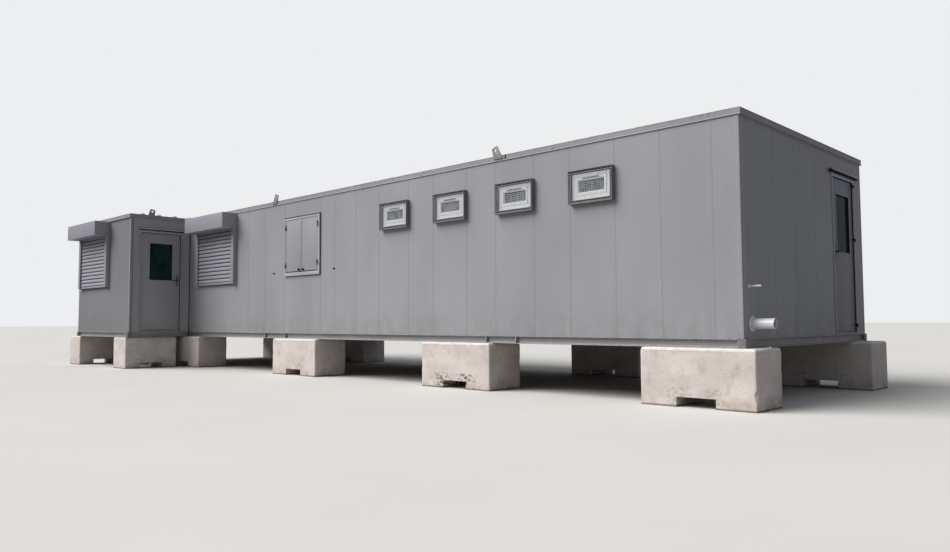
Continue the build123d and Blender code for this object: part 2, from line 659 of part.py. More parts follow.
# Bay walls
left_wall_plane = Plane(origin=(LEFT_WALL_X, 0, 0), x_dir=(0, -1, 0), z_dir=(-1, 0, 0))
left_start, left_end = WALL_THICKNESS - BACK_WALL_Y, -BAY_WALL_Y - WALL_THICKNESS
left_panels = int((left_end - left_start) // PANEL_PITCH)
left_seams = [left_start + n * PANEL_PITCH for n in range(1, left_panels + 1)]
keep("left_wall", wall(left_wall_plane, left_start, left_end, seams=left_seams))
bay_seams = [BAY_SIDE_X - n * PANEL_PITCH for n in range(1, int(BAY_LENGTH // PANEL_PITCH) + 1)]
keep(
    "bay_front_wall",
    wall(front_plane(BAY_WALL_Y), LEFT_WALL_X, BAY_SIDE_X, openings=[bay_shutter_span], seams=bay_seams),
)
keep("bay_side_wall_outer", wall(end_plane(BAY_SIDE_X), BAY_WALL_Y + WALL_THICKNESS, bay_cut[0]))
keep("bay_side_wall_inner", wall(end_plane(BAY_SIDE_X), bay_cut[1], FRONT_WALL_Y + WALL_THICKNESS))
keep("bay_side_wall_head", over_door(BAY_SIDE_X, bay_cut))

# Window frames and panes
for low, high in high_spans:
    frame, pane = window(front_plane(FRONT_WALL_Y), low, high, WINDOW_RAIL, WINDOW_DEPTH, WINDOW_PROUD)
    with BuildPart() as vented:
        add(frame.part)
        vent_y = FRONT_WALL_Y - WINDOW_PROUD - VENT_PROUD / 2
        with Locations(((low[0] + high[0]) / 2, vent_y, high[1] - VENT_BELOW_HEAD)):
            Box(VENT_LENGTH, VENT_PROUD, VENT_HEIGHT)
    keep("window_frames", vented)
    keep("window_panes", pane)
for plane, (low, high) in (
    (front_plane(FRONT_WALL_Y), hatch_span),
    (front_plane(FRONT_WALL_Y), front_shutter_span),
    (front_plane(BAY_WALL_Y), bay_shutter_span),
):
    frame, pane = window(plane, low, high, RAIL_OF_SHUT_WINDOW, WINDOW_DEPTH)
    keep("window_frames", frame)
    keep("window_panes", pane)

# Guards over the high windows
guard_face_y = FRONT_WALL_Y - GUARD_DEPTH
for x in high_centres:
    centre = x + GUARD_CENTRE_SHIFT
    low = (centre - GUARD_WIDTH / 2, GUARD_BOTTOM_Z)
    high = (centre + GUARD_WIDTH / 2, GUARD_BOTTOM_Z + GUARD_HEIGHT)
    with BuildPart() as guard:
        with BuildSketch(front_plane(FRONT_WALL_Y)):
            rectangle_between(low, high)
            rectangle_between(
                (low[0] + GUARD_SHEET, low[1] + GUARD_SHEET),
                (high[0] - GUARD_SHEET, high[1] - GUARD_SHEET),
                mode=Mode.SUBTRACT,
            )
        extrude(amount=GUARD_DEPTH)
        with BuildSketch(front_plane(guard_face_y)):
            rectangle_between(low, high)
            rectangle_between(
                (low[0] + GUARD_LIP, low[1] + GUARD_LIP),
                (high[0] - GUARD_LIP, high[1] - GUARD_LIP),
                mode=Mode.SUBTRACT,
            )
        extrude(amount=-GUARD_SHEET)
    keep("window_guards", guard)
    with BuildPart() as mesh:
        with BuildSketch(front_plane(guard_face_y + GUARD_SHEET)):
            rectangle_between(
                (low[0] + GUARD_SHEET, low[1] + GUARD_SHEET), (high[0] - GUARD_SHEET, high[1] - GUARD_SHEET)
            )
        extrude(amount=-MESH_THICKNESS)
    keep("guard_mesh", mesh)

# Hatch frame, leaves and wall catches
with BuildPart() as hatch_frame:
    with BuildSketch(front_plane(FRONT_WALL_Y)):
        rectangle_between(
            (HATCH_CENTRE_X - HATCH_FRAME_WIDTH / 2, HATCH_BOTTOM_Z),
            (HATCH_CENTRE_X + HATCH_FRAME_WIDTH / 2, HATCH_TOP_Z),
        )
        rectangle_between(*hatch_span, mode=Mode.SUBTRACT)
    extrude(amount=HATCH_PROUD)
keep("hatch_frame", hatch_frame)


def hatch_leaf(side):
    """A steel leaf hung on the stile at side (-1 left, 1 right), its knob and its two hinges."""
    hinge_x = HATCH_CENTRE_X + side * LEAF_HINGE_X
    free_x = hinge_x - side * LEAF_WIDTH
    with BuildPart() as leaf:
        with BuildSketch(front_plane(LEAF_FACE_Y)):
            rectangle_between((hinge_x, LEAF_BOTTOM_Z), (free_x, LEAF_TOP_Z))
        extrude(amount=-LEAF_SHEET)
    with BuildPart() as knob:
        with BuildSketch(front_plane(LEAF_FACE_Y)):
            with Locations((HATCH_CENTRE_X + side * KNOB_OFFSET, KNOB_Z)):
                RegularPolygon(KNOB_RADIUS, KNOB_SIDES)
        extrude(amount=KNOB_REACH)
    axis = (hinge_x, LEAF_PIVOT_Y)
    reach = LEAF_KNUCKLE_RADIUS / 2
    strap_x = hinge_x - side * LEAF_STRAP_REACH
    on_stile = (
        (hinge_x, LEAF_PIVOT_Y - reach),
        (hinge_x + side * HATCH_STILE * 0.7, HATCH_FACE_Y - HINGE_PLATE),
        (hinge_x + side * HATCH_STILE * 0.7, HATCH_FACE_Y),
        (hinge_x + side * 2 * LEAF_GAP, HATCH_FACE_Y),
        (hinge_x, LEAF_PIVOT_Y + reach),
    )
    on_leaf = (
        (hinge_x - side * LEAF_KNUCKLE_RADIUS * 0.75, LEAF_PIVOT_Y - reach),
        (strap_x, LEAF_FACE_Y - HINGE_PLATE),
        (strap_x, LEAF_FACE_Y),
        (hinge_x - side * LEAF_KNUCKLE_RADIUS, LEAF_FACE_Y),
        (hinge_x - side * LEAF_KNUCKLE_RADIUS * 0.75, LEAF_PIVOT_Y + reach),
    )
    hinges = [
        hinge_pair(
            axis, LEAF_KNUCKLE_RADIUS, z - LEAF_HINGE_HEIGHT / 2, LEAF_HINGE_HEIGHT, on_stile, on_leaf
        )
        for z in LEAF_HINGE_Z
    ]
    return leaf, knob, hinges


for name, side in (("left", -1), ("right", 1)):
    leaf, knob, hinges = hatch_leaf(side)
    keep(f"hatch_leaf_{name}", leaf)
    keep(f"hatch_fittings_{name}", knob, *[moving for _, moving in hinges])
    keep("hatch_hinges", *[fixed for fixed, _ in hinges])
    knob_x = HATCH_CENTRE_X + side * (2 * LEAF_HINGE_X - KNOB_OFFSET)
    with BuildPart() as catch:
        with BuildSketch(front_plane(FRONT_WALL_Y)):
            with Locations((knob_x, KNOB_Z - CATCH_BELOW)):
                Rectangle(CATCH_PLATE[0], CATCH_PLATE[1])
            chamfer(vertices(), CATCH_PLATE[1] / 4)
        extrude(amount=CATCH_PLATE[2])
        with BuildSketch(front_plane(FRONT_WALL_Y - CATCH_PLATE[2])):
            with Locations((knob_x, KNOB_Z - CATCH_BELOW)):
                RegularPolygon(CATCH_PIN_RADIUS, KNOB_SIDES)
        extrude(amount=CATCH_PIN_LENGTH)
    keep("hatch_catches", catch)


# Roller shutters
def shutter(wall_y, right_x):
    """Box, pair of guides, roll and curtain of one roller shutter."""
    left_x = right_x - SHUTTER_WIDTH
    top_z = SHUTTER_BOX_BOTTOM_Z + SHUTTER_BOX_HEIGHT
    curtain_y = wall_y - GUIDE_DEPTH / 2
    with BuildPart() as box:
        with BuildSketch(end_plane(left_x)):
            rectangle_between((wall_y, SHUTTER_BOX_BOTTOM_Z), (wall_y - SHUTTER_BOX_DEPTH, top_z))
        extrude(amount=SHUTTER_WIDTH)
        with BuildSketch(end_plane(left_x + SHUTTER_BOX_SHEET)):
            rectangle_between(
                (wall_y - SHUTTER_BOX_SHEET, SHUTTER_BOX_BOTTOM_Z + SHUTTER_BOX_SHEET),
                (wall_y - SHUTTER_BOX_DEPTH + SHUTTER_BOX_SHEET, top_z - SHUTTER_BOX_SHEET),
            )
        extrude(amount=SHUTTER_WIDTH - 2 * SHUTTER_BOX_SHEET, mode=Mode.SUBTRACT)
        with BuildSketch(Plane.XY.offset(SHUTTER_BOX_BOTTOM_Z)):
            rectangle_between(
                (left_x + GUIDE_WIDTH - CURTAIN_IN_GUIDE - LATH_SHEET, curtain_y - 2 * LATH_BULGE),
                (right_x - GUIDE_WIDTH + CURTAIN_IN_GUIDE + LATH_SHEET, curtain_y + 2 * LATH_BULGE),
            )
        extrude(amount=SHUTTER_BOX_SHEET, mode=Mode.SUBTRACT)
    guides = []
    for outer, inner in ((left_x, left_x + GUIDE_WIDTH), (right_x, right_x - GUIDE_WIDTH)):
        way = 1 if inner > outer else -1
        with BuildPart() as guide:
            with BuildSketch(Plane.XY.offset(SHUTTER_BOTTOM_Z)):
                rectangle_between((outer, wall_y), (inner, wall_y - GUIDE_DEPTH))
                rectangle_between(
                    (inner - way * (CURTAIN_IN_GUIDE + LATH_SHEET), curtain_y - GUIDE_SLOT / 2),
                    (inner, curtain_y + GUIDE_SLOT / 2),
                    mode=Mode.SUBTRACT,
                )
            extrude(amount=SHUTTER_BOX_BOTTOM_Z - SHUTTER_BOTTOM_Z)
        guides.append(guide)
    roll_z = SHUTTER_BOX_BOTTOM_Z + SHUTTER_BOX_HEIGHT / 2
    roll_radius = SHUTTER_BOX_DEPTH / 2 - GUIDE_DEPTH / 2 - (LATH_BULGE - LATH_SHEET)
    with BuildPart() as roll:
        with BuildSketch(end_plane(left_x + SHUTTER_BOX_SHEET)):
            with Locations((wall_y - SHUTTER_BOX_DEPTH / 2, roll_z)):
                RegularPolygon(roll_radius, ROLL_SIDES)
        extrude(amount=SHUTTER_WIDTH - 2 * SHUTTER_BOX_SHEET)
    laths = round((roll_z - SHUTTER_BOTTOM_Z - BOTTOM_BAR_HEIGHT) / LATH_PITCH + 0.5)
    start = left_x + GUIDE_WIDTH - CURTAIN_IN_GUIDE
    run = SHUTTER_WIDTH - 2 * GUIDE_WIDTH + 2 * CURTAIN_IN_GUIDE
    base_z = SHUTTER_BOTTOM_Z + BOTTOM_BAR_HEIGHT
    with BuildPart() as curtain:
        with BuildSketch(Plane(origin=(start, curtain_y, base_z), x_dir=(0, -1, 0), z_dir=(-1, 0, 0))):
            with BuildLine():
                for n in range(laths):
                    ThreePointArc(
                        (0, n * LATH_PITCH),
                        (LATH_BULGE - LATH_SHEET, (n + 0.5) * LATH_PITCH),
                        (0, (n + 1) * LATH_PITCH),
                    )
                Line((0, laths * LATH_PITCH), (-LATH_SHEET, laths * LATH_PITCH))
                Line((-LATH_SHEET, laths * LATH_PITCH), (-LATH_SHEET, 0))
                Line((-LATH_SHEET, 0), (0, 0))
            make_face()
        extrude(amount=-run)
        with BuildSketch(Plane.XY.offset(SHUTTER_BOTTOM_Z)):
            rectangle_between(
                (start, curtain_y - LATH_BULGE), (start + run, curtain_y + LATH_SHEET)
            )
        extrude(amount=BOTTOM_BAR_HEIGHT)
    return box, guides, roll, curtain


for wall_y, right_x in ((FRONT_WALL_Y, SHUTTER_RIGHT_X), (BAY_WALL_Y, BAY_SHUTTER_RIGHT_X)):
    box, guides, roll, curtain = shutter(wall_y, right_x)
    keep("shutter_boxes", box)
    keep("shutter_rolls", roll)
    keep("shutter_guides", *guides)
    keep("shutter_curtains", curtain)


# Roofs with their ribs
def rib_profile(height):
    """The trapezium of a roofing rib, standing on the middle of the sketch's x axis."""
    Polygon(
        (-RIB_BASE / 2, 0), (RIB_BASE / 2, 0), (RIB_TOP / 2, height), (-RIB_TOP / 2, height), align=None
    )


with BuildPart() as main_roof:
    with Locations(
        (
            (BAY_SIDE_X + END_WALL_X) / 2,
            (FRONT_WALL_Y + BACK_WALL_Y) / 2,
            WALL_TOP + ROOF_THICKNESS / 2,
        )
    ):
        Box(END_WALL_X - BAY_SIDE_X, BACK_WALL_Y - FRONT_WALL_Y, ROOF_THICKNESS)
    ribs = int((END_WALL_X - BAY_SIDE_X) // RIB_PITCH)
    for n in range(ribs):
        x = END_WALL_X - (n + 0.5) * RIB_PITCH
        with BuildSketch(
            Plane(origin=(x, FRONT_WALL_Y, WALL_TOP + ROOF_THICKNESS), x_dir=(1, 0, 0), z_dir=(0, -1, 0))
        ):
            rib_profile(MAIN_RIB_HEIGHT)
        extrude(amount=-(BACK_WALL_Y - FRONT_WALL_Y))
keep("main_roof", main_roof)

with BuildPart() as bay_roof:
    with Locations(
        (
            (LEFT_WALL_X + BAY_SIDE_X) / 2,
            (BAY_WALL_Y + BACK_WALL_Y) / 2,
            WALL_TOP + BAY_ROOF_THICKNESS / 2,
        )
    ):
        Box(BAY_SIDE_X - LEFT_WALL_X, BACK_WALL_Y - BAY_WALL_Y, BAY_ROOF_THICKNESS)
    ribs = 1 + int((BACK_WALL_Y - BAY_WALL_Y - BAY_RIB_FROM_FRONT - RIB_BASE / 2) // RIB_PITCH)
    for n in range(ribs):
        y = BAY_WALL_Y + BAY_RIB_FROM_FRONT + n * RIB_PITCH
        with BuildSketch(
            Plane(origin=(BAY_SIDE_X, y, WALL_TOP + BAY_ROOF_THICKNESS), x_dir=(0, 1, 0), z_dir=(1, 0, 0))
        ):
            rib_profile(BAY_RIB_HEIGHT)
        extrude(amount=-(BAY_SIDE_X - LEFT_WALL_X))
keep("bay_roof", bay_roof)

# Trim around the roof edge
trim_z = (WALL_TOP, CABIN_HEIGHT)
for x, y in (
    ((BAY_SIDE_X, 0), (0, FRONT_WALL_Y)),
    ((END_WALL_X, 0), (FRONT_WALL_Y, BACK_WALL_Y)),
    ((LEFT_X, 0), (BACK_WALL_Y, MAIN_WIDTH)),
    ((LEFT_X, LEFT_WALL_X), (BAY_WALL_Y, BACK_WALL_Y)),
    ((LEFT_X, JOINT_X), (BAY_FRONT_Y, BAY_WALL_Y)),
    ((BAY_SIDE_X, JOINT_X), (BAY_WALL_Y, 0)),
):
    keep("roof_trim", slab(x, y, trim_z))


# Lifting lugs, leaning towards the middle of the lift
def lug_axis(lean):
    """The middle of a lug's tip and the direction of the strip, as seen on the lug's plane."""
    tip = Vector(lean, LUG_RISE)
    return tip, (tip - Vector(0, -LUG_SEAT)).normalized()


def lug_eye(lean):
    """The middle of a lug's hole on the lug's plane."""
    tip, along = lug_axis(lean)
    return tip - along * LUG_HOLE_FROM_TIP


def lug(plane, lean):
    """A flat eye plate, a tapered strip with a square tip, welded to the trim's face."""
    tip, along = lug_axis(lean)
    across = Vector(along.Y, -along.X) * (LUG_TIP_WIDTH / 2)
    with BuildPart() as plate:
        with BuildSketch(plane) as outline:
            Polygon(
                (-LUG_BASE_WIDTH / 2, -LUG_SEAT),
                (LUG_BASE_WIDTH / 2, -LUG_SEAT),
                tuple(tip + across)[:2],
                tuple(tip - across)[:2],
                align=None,
            )
            fillet(outline.vertices().sort_by(Axis.Y)[-2:], LUG_TIP_CORNER)
            with Locations(lug_eye(lean)):
                Circle(LUG_HOLE_RADIUS, mode=Mode.SUBTRACT)
        extrude(amount=LUG_THICKNESS)
    return plate


def lug_plane(x, y, along, out):
    """The plane of a lug's inner face: along is its leaning direction, out the way it faces."""
    return Plane(origin=(x, y, CABIN_HEIGHT), x_dir=along, z_dir=out)


bay_lug_y = BAY_FRONT_Y + LUG_FROM_BAY_CORNER
for x, lean in ((-LUG_FROM_END, -LUG_LEAN), (JOINT_X + LUG_FROM_END, LUG_LEAN)):
    keep("lifting_lugs", lug(lug_plane(x, 0, (1, 0, 0), (0, -1, 0)), lean))
    keep("lifting_lugs", lug(lug_plane(x, MAIN_WIDTH, (-1, 0, 0), (0, 1, 0)), -lean))
keep("lifting_lugs", lug(lug_plane(JOINT_X, bay_lug_y, (0, 1, 0), (1, 0, 0)), BAY_LUG_LEAN))
for y, lean in ((bay_lug_y, -BAY_LUG_LEAN), (MAIN_WIDTH - LUG_FROM_BAY_CORNER, BAY_LUG_LEAN)):
    keep("lifting_lugs", lug(lug_plane(LEFT_X, y, (0, -1, 0), (-1, 0, 0)), lean))


# Pipes
def wall_pipe(y, z, radius, thickness, reach, profile):
    """A plastic pipe through the end wall with the collar given by profile (distance out, radius)."""
    with BuildPart() as pipe:
        with BuildSketch(Plane(origin=(END_WALL_X, y, z), x_dir=(1, 0, 0), z_dir=(0, -1, 0))):
            with BuildLine():
                Polyline(
                    (-WALL_THICKNESS, radius - thickness),
                    (-WALL_THICKNESS, radius),
                    (0, radius),
                    *profile,
                    (reach + END_INSET, radius),
                    (reach + END_INSET, radius - thickness),
                    close=True,
                )
            make_face()
        revolve(axis=Axis((END_WALL_X, y, z), (1, 0, 0)))
    return pipe


keep(
    "soil_pipe",
    wall_pipe(
        SOIL_Y,
        SOIL_Z,
        SOIL_RADIUS,
        SOIL_WALL,
        SOIL_REACH,
        (
            (0, SOIL_FLANGE_RADIUS),
            (PIPE_FLANGE, SOIL_FLANGE_RADIUS),
            (PIPE_FLANGE, SOIL_RADIUS),
        ),
    ),
)
keep(
    "overflow_pipe",
    wall_pipe(
        OVERFLOW_Y,
        OVERFLOW_Z,
        OVERFLOW_RADIUS,
        OVERFLOW_WALL,
        OVERFLOW_REACH,
        (
            (0, OVERFLOW_FLANGE_RADIUS),
            (PIPE_FLANGE, OVERFLOW_FLANGE_RADIUS),
            (PIPE_FLANGE, OVERFLOW_RADIUS),
        ),
    ),
)


# Concrete blocks
def block(x, y, length, width, turned=False):
    """A cast block with rounded upper edges and a fork slot across its underside."""
    plane = Plane(
        origin=(x, y, -BLOCK_HEIGHT),
        x_dir=(0, 1, 0) if turned else (1, 0, 0),
        z_dir=(1, 0, 0) if turned else (0, -1, 0),
    )
    with BuildPart() as cast:
        with BuildSketch(plane):
            rectangle_between((-length / 2, 0), (length / 2, BLOCK_HEIGHT))
        extrude(amount=width / 2, both=True)
        fillet(cast.edges().group_by(Axis.Z)[-1], BLOCK_EDGE)
        with BuildSketch(plane) as slot:
            rectangle_between((-SLOT_WIDTH / 2, 0), (SLOT_WIDTH / 2, SLOT_HEIGHT))
            chamfer(slot.vertices().sort_by(Axis.Y)[-2:], SLOT_CORNER)
        extrude(amount=width, both=True, mode=Mode.SUBTRACT)
    return cast


for x in FRONT_BLOCKS_X:
    keep("front_blocks", block(x, FRONT_BLOCK_INSET, BLOCK_LENGTH, BLOCK_WIDTH))
for x in REAR_BLOCKS_X:
    keep("rear_blocks", block(x, MAIN_WIDTH - REAR_BLOCK_INSET, BLOCK_LENGTH, BLOCK_WIDTH))
for x, y in BAY_BLOCKS:
    keep("bay_blocks", block(x, y, BAY_BLOCK_LENGTH, BAY_BLOCK_WIDTH, turned=True))

# Move everything so that the origin is the middle of the footprint, on the ground
boxes = [solid.bounding_box() for solids in pieces.values() for solid in solids]
low = [min(tuple(box.min)[axis] for box in boxes) for axis in range(3)]
high = [max(tuple(box.max)[axis] for box in boxes) for axis in range(3)]
ORIGIN = ((low[0] + high[0]) / 2, (low[1] + high[1]) / 2, low[2])

os.makedirs("parts", exist_ok=True)
for name, solids in pieces.items():
    moved = Compound(children=[solid.moved(Location(tuple(-v for v in ORIGIN))) for solid in solids])
    export_step(moved, f"parts/{name}.step")
print("origin", ORIGIN, "size", [h - l for l, h in zip(low, high)], "nodes", len(pieces))
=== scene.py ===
"""Dresses the portable site cabin: each visible piece and its finish, the floor, the light and the camera.

Sizes are millimetres in the maker's frame: X runs along the long front wall with the right-hand end at 0,
Y runs from the front to the back and Z is up from the underside of the steel base frame. Finished meshes are
in metres, with the origin in the middle of the footprint, on the ground.
"""

from __future__ import annotations

import json
import logging
import math
from collections.abc import Callable, Iterable, Sequence
from dataclasses import dataclass
from enum import Enum

import bmesh
import bpy
from mathutils import Matrix, Vector, noise

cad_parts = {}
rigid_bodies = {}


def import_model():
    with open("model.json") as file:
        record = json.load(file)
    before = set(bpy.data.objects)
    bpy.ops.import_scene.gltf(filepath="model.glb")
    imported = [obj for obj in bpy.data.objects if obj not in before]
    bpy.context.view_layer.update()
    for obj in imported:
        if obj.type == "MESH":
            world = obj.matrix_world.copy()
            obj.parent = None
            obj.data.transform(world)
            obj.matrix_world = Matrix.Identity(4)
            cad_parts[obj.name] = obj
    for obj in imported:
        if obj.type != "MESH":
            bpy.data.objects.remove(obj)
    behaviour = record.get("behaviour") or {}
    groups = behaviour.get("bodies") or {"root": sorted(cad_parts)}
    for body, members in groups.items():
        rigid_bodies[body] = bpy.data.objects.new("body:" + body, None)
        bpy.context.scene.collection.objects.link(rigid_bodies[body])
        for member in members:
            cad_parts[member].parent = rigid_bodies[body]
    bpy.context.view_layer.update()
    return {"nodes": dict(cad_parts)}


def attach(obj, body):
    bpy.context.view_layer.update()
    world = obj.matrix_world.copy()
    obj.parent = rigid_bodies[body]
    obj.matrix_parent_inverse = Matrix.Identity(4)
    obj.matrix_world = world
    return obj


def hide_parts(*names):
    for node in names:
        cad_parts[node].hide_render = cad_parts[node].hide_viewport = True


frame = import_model()
log = logging.getLogger("cabin")

Point = Sequence[float]
Tree = bpy.types.NodeTree
Socket = bpy.types.NodeSocket
Material = bpy.types.Material
Mesh = bpy.types.Mesh
MAKER_ORIGIN = Vector((-7554.0, 1132.0, -630.0))
TO_SITE = Matrix.Scale(0.001, 4) @ Matrix.Translation(-MAKER_ORIGIN)
FROM_SITE = TO_SITE.inverted()
FRONT = Vector((0.0, -1.0, 0.0))
RIGHT_END = Vector((1.0, 0.0, 0.0))
UP = Vector((0.0, 0.0, 1.0))


@dataclass(frozen=True)
class Overall:
    """Sizes that several sub-assemblies share."""

    length: float = 12190.0
    width: float = 3770.0
    bay_length: float = 2785.0
    bay_projection: float = 1265.0
    height: float = 2490.0
    frame_height: float = 100.0
    trim_height: float = 75.0
    side_inset: float = 8.0
    end_inset: float = 22.0
    wall: float = 70.0

    @property
    def joint(self) -> float:
        """X of the face where the two cabins meet."""
        return -self.length

    @property
    def left(self) -> float:
        """X of the far left edge of the base frame."""
        return -self.length - self.bay_length

    @property
    def bay_front(self) -> float:
        """Y of the front edge of the bay's base frame."""
        return -self.bay_projection

    @property
    def wall_top(self) -> float:
        """Z of the underside of the roof trim."""
        return self.height - self.trim_height

    @property
    def front_wall(self) -> float:
        """Y of the long front wall's face."""
        return self.side_inset

    @property
    def back_wall(self) -> float:
        """Y of the back wall's face."""
        return self.width - self.side_inset

    @property
    def end_wall(self) -> float:
        """X of the right-hand end wall's face."""
        return -self.end_inset

    @property
    def bay_side(self) -> float:
        """X of the bay's side wall, which faces the right-hand end."""
        return self.joint - self.side_inset

    @property
    def left_wall(self) -> float:
        """X of the far left wall's face."""
        return self.left + self.side_inset

    @property
    def bay_wall(self) -> float:
        """Y of the bay's front wall."""
        return self.bay_front + self.end_inset

    def outline(self) -> list[Vector]:
        """Corners of the L-shaped plan, counter-clockwise from the near right-hand corner."""
        corners = (
            (0.0, 0.0),
            (0.0, self.width),
            (self.left, self.width),
            (self.left, self.bay_front),
            (self.joint, self.bay_front),
            (self.joint, 0.0),
        )
        return [Vector((x, y, 0.0)) for x, y in corners]


CABIN = Overall()


# Finishes


def linear(code: str) -> tuple[float, float, float, float]:
    """Turns an sRGB hex code into a linear colour.

    Args:
        code: Six hex digits, such as "9a979c".

    Returns:
        Red, green, blue and full alpha.
    """
    parts = [int(code[i : i + 2], 16) / 255 for i in (0, 2, 4)]
    return (*(c / 12.92 if c <= 0.04045 else ((c + 0.055) / 1.055) ** 2.4 for c in parts), 1.0)


def shade(code: str, factor: float) -> tuple[float, float, float, float]:
    """A colour from its sRGB hex code, made lighter or darker by a factor."""
    return (*(Vector(linear(code)[:3]) * factor), 1.0)


def add(
    tree: Tree, kind: str, inputs: dict[str | int, object] | None = None, **settings: object
) -> bpy.types.Node:
    """Adds a node with its settings, values and links.

    Args:
        tree: The node tree that gets the node.
        kind: The node's type name.
        inputs: For each input's name or number, a value or the socket that feeds it.
        settings: Properties of the node itself.

    Returns:
        The new node.
    """
    node = tree.nodes.new(kind)
    for name, value in settings.items():
        setattr(node, name, value)
    for key, value in (inputs or {}).items():
        if isinstance(value, Socket):
            tree.links.new(value, node.inputs[key])
        else:
            node.inputs[key].default_value = value
    return node


def patches(
    tree: Tree, size: Point, low: float, high: float, detail: float = 4.0, turn: float = 0.0
) -> Socket:
    """Soft random patches on Object coordinates.

    Args:
        tree: The material's node tree.
        size: Size of a patch along X, Y and Z, in millimetres.
        low: Level of the noise that becomes 0.
        high: Level of the noise that becomes 1.
        detail: Octaves of finer noise.
        turn: Shift of the pattern, so that two of them differ.

    Returns:
        A socket that goes from 0 to 1.
    """
    place = add(tree, "ShaderNodeTexCoord").outputs["Object"]
    scaled = add(
        tree,
        "ShaderNodeMapping",
        {"Vector": place, "Location": (turn, turn, turn), "Scale": tuple(1000.0 / s for s in size)},
    )
    cloud = add(tree, "ShaderNodeTexNoise", {"Vector": scaled.outputs[0], "Scale": 1.0, "Detail": detail})
    return add(
        tree,
        "ShaderNodeMapRange",
        {"Value": cloud.outputs[0], "From Min": low, "From Max": high, "To Min": 0.0, "To Max": 1.0},
    ).outputs[0]


def coat(
    tree: Tree, under: object, over: object, mask: Socket, amount: float
) -> Socket:
    """Lays one colour over another where a mask is.

    Args:
        tree: The material's node tree.
        under: The colour, or its socket, that is covered.
        over: The colour, or its socket, that covers.
        mask: Where it covers, from 0 to 1.
        amount: How much it covers where the mask is 1.

    Returns:
        The colour socket of the two together.
    """
    share = add(tree, "ShaderNodeMath", {0: mask, 1: amount}, operation="MULTIPLY", use_clamp=True).outputs[0]
    return add(tree, "ShaderNodeMix", {0: share, 6: under, 7: over}, data_type="RGBA").outputs[2]


def height_band(tree: Tree, bottom: float, top: float) -> Socket:
    """A mask that goes from 1 at one height to 0 at another.

    Args:
        tree: The material's node tree.
        bottom: Height in the maker's frame, in millimetres, where the mask is 1.
        top: Height where it is 0.

    Returns:
        The mask's socket.
    """
    place = add(tree, "ShaderNodeTexCoord").outputs["Object"]
    z = add(tree, "ShaderNodeSeparateXYZ", {0: place}).outputs[2]
    ends = [(value - MAKER_ORIGIN.z) / 1000.0 for value in (bottom, top)]
    return add(
        tree,
        "ShaderNodeMapRange",
        {"Value": z, "From Min": ends[0], "From Max": ends[1], "To Min": 1.0, "To Max": 0.0},
    ).outputs[0]


def times(tree: Tree, *masks: Socket) -> Socket:
    """Several masks multiplied together.

    Args:
        tree: The material's node tree.
        masks: The masks' sockets.

    Returns:
        The product's socket.
    """
    result = masks[0]
    for mask in masks[1:]:
        result = add(tree, "ShaderNodeMath", {0: result, 1: mask}, operation="MULTIPLY").outputs[0]
    return result


def blank(title: str) -> tuple[Material, Tree, bpy.types.Node]:
    """Starts a material.

    Args:
        title: Its name.

    Returns:
        The material, its node tree and its Principled shader.
    """
    material = bpy.data.materials.new(title)
    material.use_nodes = True
    tree = material.node_tree
    return material, tree, next(node for node in tree.nodes if node.type == "BSDF_PRINCIPLED")


@dataclass(frozen=True)
class Finish:
    """What every finish has: a name, a colour, and how rough it is.

    Attributes:
        title: The real material's name.
        colour: Its sRGB hex code.
        roughness: Lowest and highest roughness over the surface.
    """

    title: str
    colour: str
    roughness: tuple[float, float] = (0.45, 0.6)

    def surface(
        self,
        tree: Tree,
        shader: bpy.types.Node,
        colour: object,
        rough: Socket,
        relief: Socket,
        depth: float,
    ) -> None:
        """Joins colour, roughness and relief to the shader.

        Args:
            tree: The material's node tree.
            shader: Its Principled shader.
            colour: The colour or its socket.
            rough: A pattern from 0 to 1 that is spread over the finish's roughness.
            relief: The height pattern from 0 to 1.
            depth: Depth of the relief in millimetres.
        """
        low, high = self.roughness
        spread = add(tree, "ShaderNodeMapRange", {"Value": rough, "To Min": low, "To Max": high})
        tree.links.new(spread.outputs[0], shader.inputs["Roughness"])
        tree.links.new(colour, shader.inputs["Base Color"])
        bump = add(tree, "ShaderNodeBump", {"Height": relief, "Distance": depth / 1000.0, "Strength": 1.0})
        tree.links.new(bump.outputs[0], shader.inputs["Normal"])


